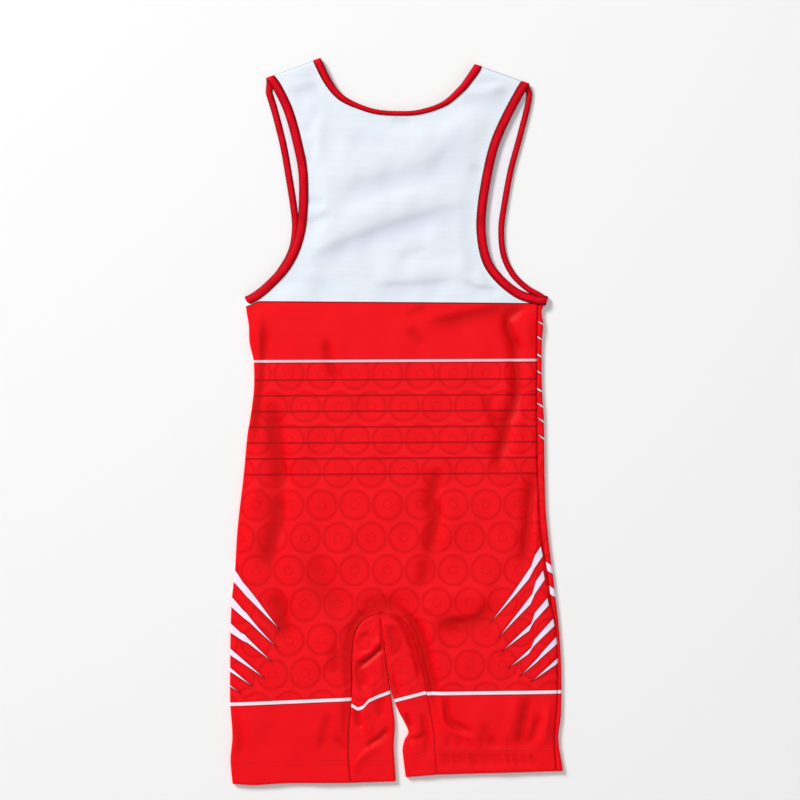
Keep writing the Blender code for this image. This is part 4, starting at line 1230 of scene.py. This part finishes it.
# %% The back and the front
back = panel_grids(back_side, BACK_ARMHOLE_LEFT, BACK_ARMHOLE_RIGHT, BACK_NECK, on_back, UP)
front = panel_grids(right_base, FRONT_ARMHOLE_LEFT, FRONT_ARMHOLE_RIGHT, FRONT_NECK, on_front, DOWN)
front["right"] = wrap_round(front["body"][:, -1, :2])
front["leg_right_side"] = leg_wrap(LEG_SHARES)
front["hem_right_side"] = turned_up(leg_wrap, ARCH_RIGHT)

back_grids, front_grids = list(back.values()), list(front.values())
back_panel = cloth_piece("back_panel", back_grids, KNIT_BACK, KNIT_WRONG, (0, 60, 6), BACK_CREASES)
front_panel = cloth_piece("front_panel", front_grids, KNIT_FRONT, KNIT_WRONG, (0, 60, 0), FRONT_CREASES,
                          up=-1)

# %% [markdown]
# ## The inside of the legs
# Between the legs an arch is cut out of both panels, and each half of it is filled by a piece that folds
# over the inside of a leg, from the arch seam on the back to the arch seam on the front. These two pieces
# hang loose, so they have the sharpest creases. The left one has a flap of cloth that stands up and leans
# over at the crotch.

# %% The inner leg pieces
INNER_ROWS = 104
INNER_COLUMNS = 26
INNER_LEFT_CREASES = creases_of(
    ([(-20, -236), (-15, -250), (-24, -263), (-33, -271), (-41, -277), (-49, -282)], 8, 2.6, 0.45),
    ([(-13, -257), (-19, -266), (-29, -275), (-40, -284), (-49, -290)], 8, -3.0, 0.5),
    ([(-44, -284), (-42, -296), (-36, -312)], 12, -1.6),
    ([(-30, -245), (-40, -252), (-47, -262)], 8, -0.9),
    ([(-44, -264), (-34, -266), (-27, -260)], 5, -0.9),
    ([(-46, -334), (-43, -346), (-40, -357)], 7, -2.2, 0.6),
    ([(-38, -330), (-35, -350), (-28, -366)], 9, 1.2),
    ([(-37, -377), (-20, -367), (-9, -354)], 8, -2.4, 0.6),
    ([(-49, -409), (-44, -393), (-31, -381), (-15, -371)], 8, 1.5, 0.6),
    ([(-28, -296), (-30, -316), (-33, -330)], 10, 1.0),
    ([(-20, -320), (-18, -345)], 9, -1.4),
    ([(-9, -262), (-13, -290), (-8, -312)], 8, -1.3),
)
INNER_RIGHT_CREASES = creases_of(
    ([(-14, -226), (2, -231), (12, -245), (18, -258), (26, -286), (31, -312)], 8, -2.4),
    ([(-9, -236), (-3, -252), (2, -276)], 15, -1.7),
    ([(11, -338), (14, -347), (18, -357)], 7, -2.2, 0.6),
    ([(6, -292), (14, -316), (19, -332)], 10, 1.0),
    ([(-5, -290), (-2, -304), (4, -322)], 8, -1.3, 0.6),
    ([(24, -350), (20, -378), (24, -400)], 10, 1.1),
    ([(30, -336), (35, -366), (36, -392)], 9, -1.6),
    ([(14, -366), (24, -368), (34, -360)], 7, -1.6, 0.6),
)


def inner_leg(arch, inner, side, rises, creases):
    """The piece's grids. side is -1 for the left half of the arch."""
    seam = on_curve(arch, steps(INNER_ROWS))
    run = np.gradient(seam, axis=0)
    run /= np.linalg.norm(run, axis=1)[:, None]
    seam = seam + side * SEAM_GAP * np.stack([run[:, 1], -run[:, 0]], -1)
    seam[0] = CROWN.x + side * SEAM_GAP / 2, CROWN.y - SEAM_GAP
    edge = on_curve(inner, steps(INNER_ROWS))

    def rows(shares, inset=0.0):
        goal = np.atleast_1d(shares) * INNER_ROWS
        index = np.arange(INNER_ROWS + 1)
        start, fold = rows_at(goal, index, seam), rows_at(goal, index, edge)
        length = np.linalg.norm(fold - start, axis=1)[:, None]
        out = (fold - start) / length
        high, low = back_level(start[:, 1:]), FRONT_Z
        radius = (high - low) / 2
        reach = length - radius - CLOTH / 2
        part = steps(INNER_COLUMNS)[None]
        away = reach * part
        lip = start[:, None] + out[:, None] * away[..., None]
        x, y = lip[..., 0], lip[..., 1]
        loose = smooth_step(away / 5) * smooth_step((reach - away) / 4)
        height = crease_height(x, y, creases) + 0.8 * wave_height(x, y)
        swell = 0.5 * smooth_step(reach / 20) * (1 - near_hem(start[:, 1:]))
        top = grid_of(x, y, high - inset + (height + swell) * loose)
        angle = np.radians(np.linspace(UP, DOWN, 3 * QUARTER_TURN + 1))[None]
        round_reach = reach + (radius - inset) * np.cos(angle)
        turn = start[:, None] + out[:, None] * round_reach[..., None]
        turn = grid_of(turn[..., 0], turn[..., 1], (high + low) / 2 + (radius - inset) * np.sin(angle))
        under = top[:, ::-1].copy()
        under[..., 2] = low + inset
        base = x[:, -1:]
        turn[..., 3] = base - side * radius * (math.pi / 2 - angle)
        under[..., 3] = base - side * (radius * math.pi + reach - away[:, ::-1])
        grid = np.hstack([top, turn[:, 1:-1], under])
        grid[..., 4] = grid[..., 1] + table_value(rises, grid[..., 0])
        return grid

    return [rows(steps(INNER_ROWS)), turned_up(rows, arch)]


inner_left = inner_leg(ARCH_LEFT, INNER_LEFT, -1, INNER_LEFT_RISE, INNER_LEFT_CREASES)
inner_right = inner_leg(ARCH_RIGHT, INNER_RIGHT, 1, INNER_RIGHT_RISE, INNER_RIGHT_CREASES)
leg_lining_left = cloth_piece("inner_leg_left", inner_left, KNIT_INNER, KNIT_WRONG, (-30, -310, 6),
                               INNER_LEFT_CREASES)
leg_lining_right = cloth_piece("inner_leg_right", inner_right, KNIT_INNER, KNIT_WRONG, (14, -310, 6),
                                INNER_RIGHT_CREASES)

# %% [markdown]
# ## The bindings
# The neck and both armholes are bound with a tape that is folded over the cloth's edge and sewn down on
# both faces. Each tape is one closed loop: it follows the back's edge, turns over the shoulder, comes back
# along the front's edge and turns again. A cross-section is drawn once and swept along that loop. The face
# that one looks down on is rounded by the roll of the tape, and the face that lies on the table is flat.

# %% Tape and thread finishes
TAPE_RIB = 1.1             # from one rib of the tape to the next


def tape_finish():
    """Knitted tape: painted shade towards its sewn edge and its fold, a painted highlight along the crown of
    its roll, a dark line at the sewn edge, and uneven where it was stretched.
    """
    material, tree, shader = new_material("binding_tape", roughness=0.45, specular=0.06)
    along_tape, across, place = cloth_place(tree)
    sewn = calc("MINIMUM", across, calc("ABSOLUTE", calc("SUBTRACT", 20.0, across)))
    # painted highlight along the crown of the tape's roll, and painted shade towards its sewn edge and its
    # fold
    roll_highlight_and_shade = soft_step(calc("ABSOLUTE", calc("SUBTRACT", sewn, 5.4)), 4.6, 1.6)
    colour = blend(roll_highlight_and_shade, rgb(150, 0, 10), rgb(232, 6, 32))
    colour = blend(soft_step(sewn, 0.55, 0.2), colour, rgb(148, 0, 12))
    patchy = noise(stretched(place, 0.045, 0.22), 3.0)
    ribs = calc("SINE", calc("MULTIPLY", along_tape, 2 * math.pi / TAPE_RIB))
    bump = add_node("Bump", {"Strength": 0.35, "Distance": 0.1 * MM, "Height": calc("ADD", ribs, patchy)})
    finish(tree, shader, colour, spread(patchy, 0.3, 0.7, 0.66, 1.04), bump.outputs[0])
    return material


def thread_finish():
    material, tree, shader = new_material("seam_thread", roughness=0.5, specular=0.2)
    place = add_node("TexCoord", tree=tree).outputs["Object"]
    colour = blend(noise(place, 2.0, scale=300.0), rgb(122, 0, 14), rgb(196, 4, 28))
    tree.links.new(colour, shader.inputs["Base Color"])
    return material


TAPE = tape_finish()
THREAD = thread_finish()
print("finishes:", TAPE.name, THREAD.name)

# %% [markdown]
# The cross-section runs from the sewn edge over the fold to the sewn edge on the other face. At each point
# of the loop it is set up on three directions: along the edge, out of the cloth, and off its face. They are
# evened out along the loop, or the tape would jerk at every corner of the path. A closed loop can't be made
# by sweeping a profile along an open curve without a join, which is why the rings are joined by hand here.

# %% The tape's cross-section
TAPE_REACH = 0.9           # how far the tape stands outside the cloth's edge
SLOT_HALF = 0.8            # from the middle of the cloth to the inside of the tape
TAPE_PITCH = 1.7
SEWN_WAVE = 0.16           # how uneven the sewn edge and the fold are
FOLD_WAVE = 0.13
TABLE = 0.0                # nothing sinks under this height
print("the tape stands", TAPE_REACH, "mm outside the cloth's edge")
# Across the tape from its sewn edge (0) to its fold (1): the rounded face and the flat one.
FACE_SHARES = np.array([0.0, 0.02, 0.06, 0.13, 0.22, 0.34, 0.48, 0.62, 0.75, 0.86, 0.94, 0.985, 1.0])
ROUNDED = np.array([0.9, 1.22, 1.42, 1.66, 1.95, 2.22, 2.36, 2.33, 2.12, 1.76, 1.20, 0.55, 0.0])
FLAT = np.array([0.9, 1.45, 1.6, 1.6, 1.6, 1.6, 1.6, 1.6, 1.6, 1.55, 1.20, 0.60, 0.0])
STITCH_LINE = 3            # the place in those tables where the tape is sewn down
# the width of the neck's tape on the back at these distances from its middle
NECK_WIDTHS = np.array([(0, 5.6), (45, 6.2), (70, 8.4), (84, 9.8)])
NECK_MIDDLE = 1.7


def path_of(*runs):
    """One closed path: the points on the cloth's edge with their neighbours inside, without repeats."""
    edge = np.vstack([run[0] for run in runs])
    inner = np.vstack([run[1] for run in runs])
    gap = np.linalg.norm(edge - np.roll(edge, 1, axis=0), axis=1)
    return edge[gap > 0.05], inner[gap > 0.05]


def column_run(grid, j):
    """The points of a grid's first or last column, and the ones two columns inside it."""
    return grid[:, j, :3], grid[:, 2 if j == 0 else -3, :3]


def row_run(grid, i):
    return grid[i, :, :3], grid[2 if i == 0 else -3, :, :3]


def backwards(run):
    return run[0][::-1], run[1][::-1]


def without_last(run):
    return run[0][:-1], run[1][:-1]


def unit(vectors):
    return vectors / np.linalg.norm(vectors, axis=-1, keepdims=True)


def smooth_loop(values, reach):
    """The values evened out along a closed loop."""
    weights = np.exp(-(np.arange(-2 * reach, 2 * reach + 1) / reach) ** 2)
    total = sum(weight * np.roll(values, step, axis=0)
                for weight, step in zip(weights, range(-2 * reach, 2 * reach + 1)))
    return total / weights.sum()


def tape_path(edge, inner):
    """Even steps along the loop: the points, the directions out of the cloth and off its face, the length."""
    length = lengths_along(np.vstack([edge, edge[:1]]))
    count = round(length[-1] / TAPE_PITCH)
    goal = np.arange(count) * length[-1] / count

    def resampled(values):
        return rows_at(goal, length, np.vstack([values, values[:1]]))

    points = resampled(edge)
    points = mix(points, smooth_loop(points, 2), 0.6)
    onward = unit(np.roll(points, -1, axis=0) - np.roll(points, 1, axis=0))
    out = smooth_loop(unit(resampled(unit(edge - inner))), 3)
    out = unit(out - (out * onward).sum(axis=1, keepdims=True) * onward)
    off = np.cross(onward, out)
    back_part = points[:, 2] > BACK_Z
    if off[back_part, 2].mean() < 0:
        off = -off
    return points, out, off, goal


def binding(name, runs, widths):
    """Sweeps the cross-section round the loop. widths gives its width at the points."""
    points, out, off, length = tape_path(*path_of(*runs))
    count = len(points)
    width = widths(points, off)
    facing = off[:, 2:]
    uneven = 0.5 * np.sin(length / 13.7) + 0.5 * np.sin(length / 5.3 + 2.0)
    sewn_wave = SEWN_WAVE * np.sin(2 * math.pi * length / 4.3 + 2.5 * uneven) * (0.6 + 0.4 * uneven)
    fold_wave = FOLD_WAVE * np.sin(2 * math.pi * length / 3.7 + 1.7 * uneven)
    sides = []
    for side, up in ((1, smooth_step(facing)), (-1, smooth_step(-facing))):
        height = mix(FLAT, ROUNDED, up)
        near_stitches = np.exp(-((FACE_SHARES - 0.1) / 0.25) ** 2)
        lift = 1 + 0.10 * up * (sewn_wave / SEWN_WAVE)[:, None] * near_stitches
        n = TAPE_REACH - width[:, None] * (1 - FACE_SHARES)
        n = n + sewn_wave[:, None] * (1 - FACE_SHARES) ** 2 + fold_wave[:, None] * FACE_SHARES**3
        sides.append((n, side * height * lift))
    (outer_n, outer_m), (under_n, under_m) = sides
    slot_end = np.full(count, SEAM_GAP)
    slot_n = np.stack([under_n[:, 0] + 0.1, slot_end, slot_end, outer_n[:, 0] + 0.1], -1)
    slot_m = np.tile([-SLOT_HALF, -SLOT_HALF, SLOT_HALF, SLOT_HALF], (count, 1))
    n = np.hstack([outer_n, under_n[:, -2::-1], slot_n])
    m = np.hstack([outer_m, under_m[:, -2::-1], slot_m])
    ring = points[:, None] + out[:, None] * n[..., None] + off[:, None] * m[..., None]
    ring[..., 2] = np.maximum(ring[..., 2], TABLE)

    across = np.concatenate([10 * FACE_SHARES, 20 - 10 * FACE_SHARES[-2::-1], [0.0, 0.0, 0.0, 0.0]])
    size = len(across)
    index = np.arange(count * size).reshape(count, size)
    after, beside = np.roll(index, -1, axis=0), np.roll(index, -1, axis=1)
    corners = np.stack([index, after, np.roll(after, -1, axis=1), beside], -1).reshape(-1, 4)
    step = length[1]
    u = np.repeat(length, size).reshape(count, size)
    v = np.tile(across, (count, 1))
    v_beside = np.roll(v, -1, axis=1)
    v_beside[:, -1] = 0.0
    around = [(u, v), (u + step, v), (u + step, v_beside), (u, v_beside)]
    uv = np.stack([np.stack(corner, -1) for corner in around], 2)
    piece = new_piece(name + "_tape", new_mesh(name, ring.reshape(-1, 3), corners, uv), [TAPE])
    piece.data.shade_smooth()
    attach(piece, "root")
    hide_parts(name)
    return [(ring[:, STITCH_LINE], off), (ring[:, 2 * len(FACE_SHARES) - 2 - STITCH_LINE], -off)]

# %% [markdown]
# A loop is a list of runs along the panels' edges, each with the points just inside it, put end to end: up
# the strap, over the shoulder and down the other side. The tape is wider on the back than on the front, and
# at the middle of the neck it is stretched and narrow.

# %% The three loops
BACK_WIDTH = 10.8          # an armhole's tape on the back
LEFT_FRONT_WIDTH = 8.0
RIGHT_FRONT_WIDTH = 7.0


def armhole_widths(front_width):
    def widths(points, off):
        return mix(front_width, BACK_WIDTH, smooth_step((off[:, 2] + 1) / 2))
    return widths


def neck_widths(points, off):
    back_width = table_value(NECK_WIDTHS, np.abs(points[:, 0] - NECK_MIDDLE))
    return mix(TAPE_WIDTH, back_width, smooth_step((off[:, 2] + 1) / 2))


NECK_FROM, NECK_TO = STRAP_COLUMNS, COLUMNS - STRAP_COLUMNS + 1


def neck_run(grid):
    return grid[0, NECK_FROM:NECK_TO, :3], grid[2, NECK_FROM:NECK_TO, :3]


def armhole_half(panel, side, edge):
    """Over the shoulder and down the armhole's edge of one panel."""
    return [backwards(row_run(panel["strap_" + side], 0)), column_run(panel["upper_" + side], 0),
            without_last(column_run(panel["yoke"], edge))]


def neck_half(panel):
    """Over the left shoulder, along the neckline and over the right shoulder."""
    return [backwards(row_run(panel["strap_left"], -1)), column_run(panel["upper_left"], -1),
            neck_run(panel["yoke"]), backwards(column_run(panel["upper_right"], -1)),
            row_run(panel["strap_right"], -1)]


def loop_of(back_half, armpit, front_half):
    return back_half + armpit + [backwards(run) for run in reversed(front_half)]


armpit_row = back["body"][:3, -1, :3]
left_armpit = [row_run(back["left"], 0), backwards(row_run(front["left"], 0))]
right_armpit = [(armpit_row[:1], armpit_row[2:]), backwards(row_run(front["right"], 0))]
left_loop = loop_of(armhole_half(back, "left", 0), left_armpit, armhole_half(front, "left", 0))
right_loop = loop_of(armhole_half(back, "right", -1), right_armpit, armhole_half(front, "right", -1))
tape_lines = binding("armhole_binding_left", left_loop, armhole_widths(LEFT_FRONT_WIDTH))
tape_lines += binding("armhole_binding_right", right_loop, armhole_widths(RIGHT_FRONT_WIDTH))
tape_lines += binding("neck_binding", loop_of(neck_half(back), [], neck_half(front)), neck_widths)

# %% [markdown]
# ## The sewing
# One stitch is a short thread, thicker in the middle, that dips into the cloth at both ends. It is made
# once, from a sphere, and copied along every seam: along both faces of the tapes, in two rows round each
# hem, and across the side seam and the arch, where the stitches show as small bars.

# %% One stitch
STITCH_SHAPE = (1.0, 0.16, 0.13)       # its length, width and height
bpy.ops.mesh.primitive_uv_sphere_add(segments=8, ring_count=6, radius=0.5, location=(0, 0, 0))
stitch = bpy.context.object
bpy.ops.object.mode_set(mode="EDIT")
bpy.ops.mesh.select_all(action="SELECT")
bpy.ops.transform.rotate(value=math.pi / 2, orient_axis="Y", center_override=(0, 0, 0))
bpy.ops.transform.resize(value=STITCH_SHAPE, center_override=(0, 0, 0))
bpy.ops.object.mode_set(mode="OBJECT")
stitch_points = values_of(stitch.data.vertices, "co").astype(float)
stitch_faces = [tuple(face.vertices) for face in stitch.data.polygons]
bpy.data.objects.remove(stitch, do_unlink=True)
print("one stitch has", len(stitch_faces), "faces and is", stitch_points.max(axis=0) * 2, "of its length")

# %% [markdown]
# A row of stitches is a line on the cloth with the direction off its face at each point. Every stitch is
# placed by its middle, its own direction and that one, so the same few lines of code serve the tapes, the
# hems and the seams.

# %% Rows of stitches
Stitch = namedtuple("Stitch", "pitch length lift")
TAPE_STITCH = Stitch(2.6, 1.9, 0.05)
HEM_STITCH = Stitch(2.3, 2.0, 0.02)
SEAM_STITCH = Stitch(2.4, 1.5, 0.0)
STITCH_THICK = 2.2         # a stitch's width and height are its drawn ones times this
ACROSS_SEAM = math.radians(80)
SEAM_SINK = 0.12           # how far a seam's stitches lie in the cloth
HEM_STITCHES = (19.5, 23.5)        # the twin rows, over the hem's edge


def stitches_along(points, ups, stitch, turn=0.0):
    """Places for stitches along a line: middle, direction, up and length. A turn lays them across it."""
    total = lengths_along(points)
    goal = np.arange(stitch.pitch / 2, total[-1], stitch.pitch)
    up = unit(rows_at(goal, total, np.broadcast_to(ups, points.shape)))
    way = unit(rows_at(goal + 0.5, total, points) - rows_at(goal - 0.5, total, points) + 1e-9)
    way = math.cos(turn) * way + math.sin(turn) * unit(np.cross(up, way))
    return rows_at(goal, total, points) + up * stitch.lift, way, up, np.full(len(goal), stitch.length)


def inner_hem_line(grid, arch, up):
    """A line of hem stitches on an inner leg piece: on its upper and on its under face."""
    place = float(hem_shares(arch, up)[0]) * INNER_ROWS
    low = int(place)
    line = mix(grid[low], grid[low + 1], place - low)[:, :3]
    return line[:INNER_COLUMNS], line[-INNER_COLUMNS:]


upward, downward = np.array([0.0, 0.0, 1.0]), np.array([0.0, 0.0, -1.0])
rows = [stitches_along(line, ups, TAPE_STITCH) for line, ups in tape_lines]
for put, side_at, facing, off in ((on_back, back_side, upward, CLOTH / 2),
                                  (on_front, right_base, downward, CLOTH / 2 - 0.1)):
    for arch, hem_y, leg_side in ((ARCH_LEFT, HEM_LEFT_Y, left_base), (ARCH_RIGHT, HEM_RIGHT_Y, side_at)):
        for line in put(leg_places(hem_shares(arch, *HEM_STITCHES), arch, hem_y, leg_side)):
            rows.append(stitches_along(line[:, :3] + facing * off, facing, HEM_STITCH))

for grids, arch in ((inner_left, ARCH_LEFT), (inner_right, ARCH_RIGHT)):
    for up in HEM_STITCHES:
        for line, facing in zip(inner_hem_line(grids[0], arch, up), (upward, downward)):
            rows.append(stitches_along(line + facing * CLOTH / 2, facing, HEM_STITCH))


def seam_stitches(x, y, nudge=0.0):
    """Stitches across a seam on the back's upper face. The nudge says where its height is taken."""
    line = np.stack([x, y, back_z(x + nudge, y) + CLOTH / 2 - SEAM_SINK], -1)
    return stitches_along(line, upward, SEAM_STITCH, turn=ACROSS_SEAM)


seam_y = mix(ARMPIT_RIGHT.y - 12, HEM_RIGHT_Y, steps(240))
rows.append(seam_stitches(x_at(RIGHT_SEAM, seam_y), seam_y, nudge=0.2))
for arch in (ARCH_LEFT, ARCH_RIGHT):
    rows.append(seam_stitches(*on_curve(arch, steps(120)).T))

middle, way, up, length = (np.concatenate(values) for values in zip(*rows))
side = np.cross(up, way)
thick = np.full(len(length), STITCH_THICK)
local = stitch_points[None] * np.stack([length, thick, thick], -1)[:, None]
points = (middle[:, None] + way[:, None] * local[..., :1] + side[:, None] * local[..., 1:2]
          + up[:, None] * local[..., 2:])
points[..., 2] = np.maximum(points[..., 2], TABLE)
offsets = np.arange(len(middle)) * len(stitch_points)
faces = [tuple(int(start + corner) for corner in face) for start in offsets for face in stitch_faces]
mesh = bpy.data.meshes.new("sewing")
mesh.from_pydata((points.reshape(-1, 3) * MM).tolist(), [], faces)
sewing = new_piece("sewing", mesh, [THREAD])
sewing.data.shade_smooth()
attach(sewing, "root")
print(len(middle), "stitches")

# %% [markdown]


# %% [markdown]
# ## The stage
# A plain pale floor, a large soft light from the upper left and an even fill. The camera looks straight
# down.

# %% Floor, lights and camera
FLOOR_SIZE = 8.0
FLOOR_GREY = 0.97
CAMERA_HEIGHT = 3.0
CAMERA_LENS = 116.2
CAMERA_SENSOR = 36
bpy.ops.mesh.primitive_plane_add(size=FLOOR_SIZE, location=(0, 0, 0))
floor = bpy.context.object
floor.name = "floor"
bpy.ops.object.mode_set(mode="EDIT")
bpy.ops.mesh.select_all(action="SELECT")
bpy.ops.transform.translate(value=(0, 0, -0.1 * MM))
bpy.ops.object.mode_set(mode="OBJECT")
floor_finish, _, floor_shader = new_material("floor", roughness=0.9, specular=0.1)
floor_shader.inputs["Base Color"].default_value = (FLOOR_GREY, FLOOR_GREY, FLOOR_GREY, 1)
floor.data.materials.append(floor_finish)


def area_light(name, place, size, power):
    """A round soft light that looks at the middle of the garment."""
    light = bpy.data.lights.new(name, "AREA")
    light.shape = "DISK"
    light.size = size
    light.energy = power
    lamp = bpy.data.objects.new(name, light)
    lamp.location = place
    bpy.context.scene.collection.objects.link(lamp)
    x, y, z = place
    lamp.rotation_euler = (math.atan2(math.hypot(x, y), z), 0, math.atan2(-x, y) + math.pi)


area_light("key", (-4.6, 4.6, 4.2), 2.6, 540)
area_light("fill", (2.4, -2.4, 2.6), 2.4, 15)
area_light("top", (0.0, 0.2, 3.4), 2.0, 20)
world = bpy.data.worlds.new("studio")
world.use_nodes = True
world.node_tree.nodes["Background"].inputs["Color"].default_value = (1, 1, 1, 1)
world.node_tree.nodes["Background"].inputs["Strength"].default_value = 0.26
bpy.context.scene.world = world
bpy.context.scene.view_settings.view_transform = "Standard"

camera = bpy.data.cameras.new("camera")
camera.sensor_width = CAMERA_SENSOR
camera.lens = CAMERA_LENS
camera.clip_end = 20
view = bpy.data.objects.new("camera", camera)
view.location = (0.00406, 0.0244, CAMERA_HEIGHT)
bpy.context.scene.collection.objects.link(view)
bpy.context.scene.camera = view
print("the camera looks down from", CAMERA_HEIGHT, "m with a", CAMERA_LENS, "mm lens")
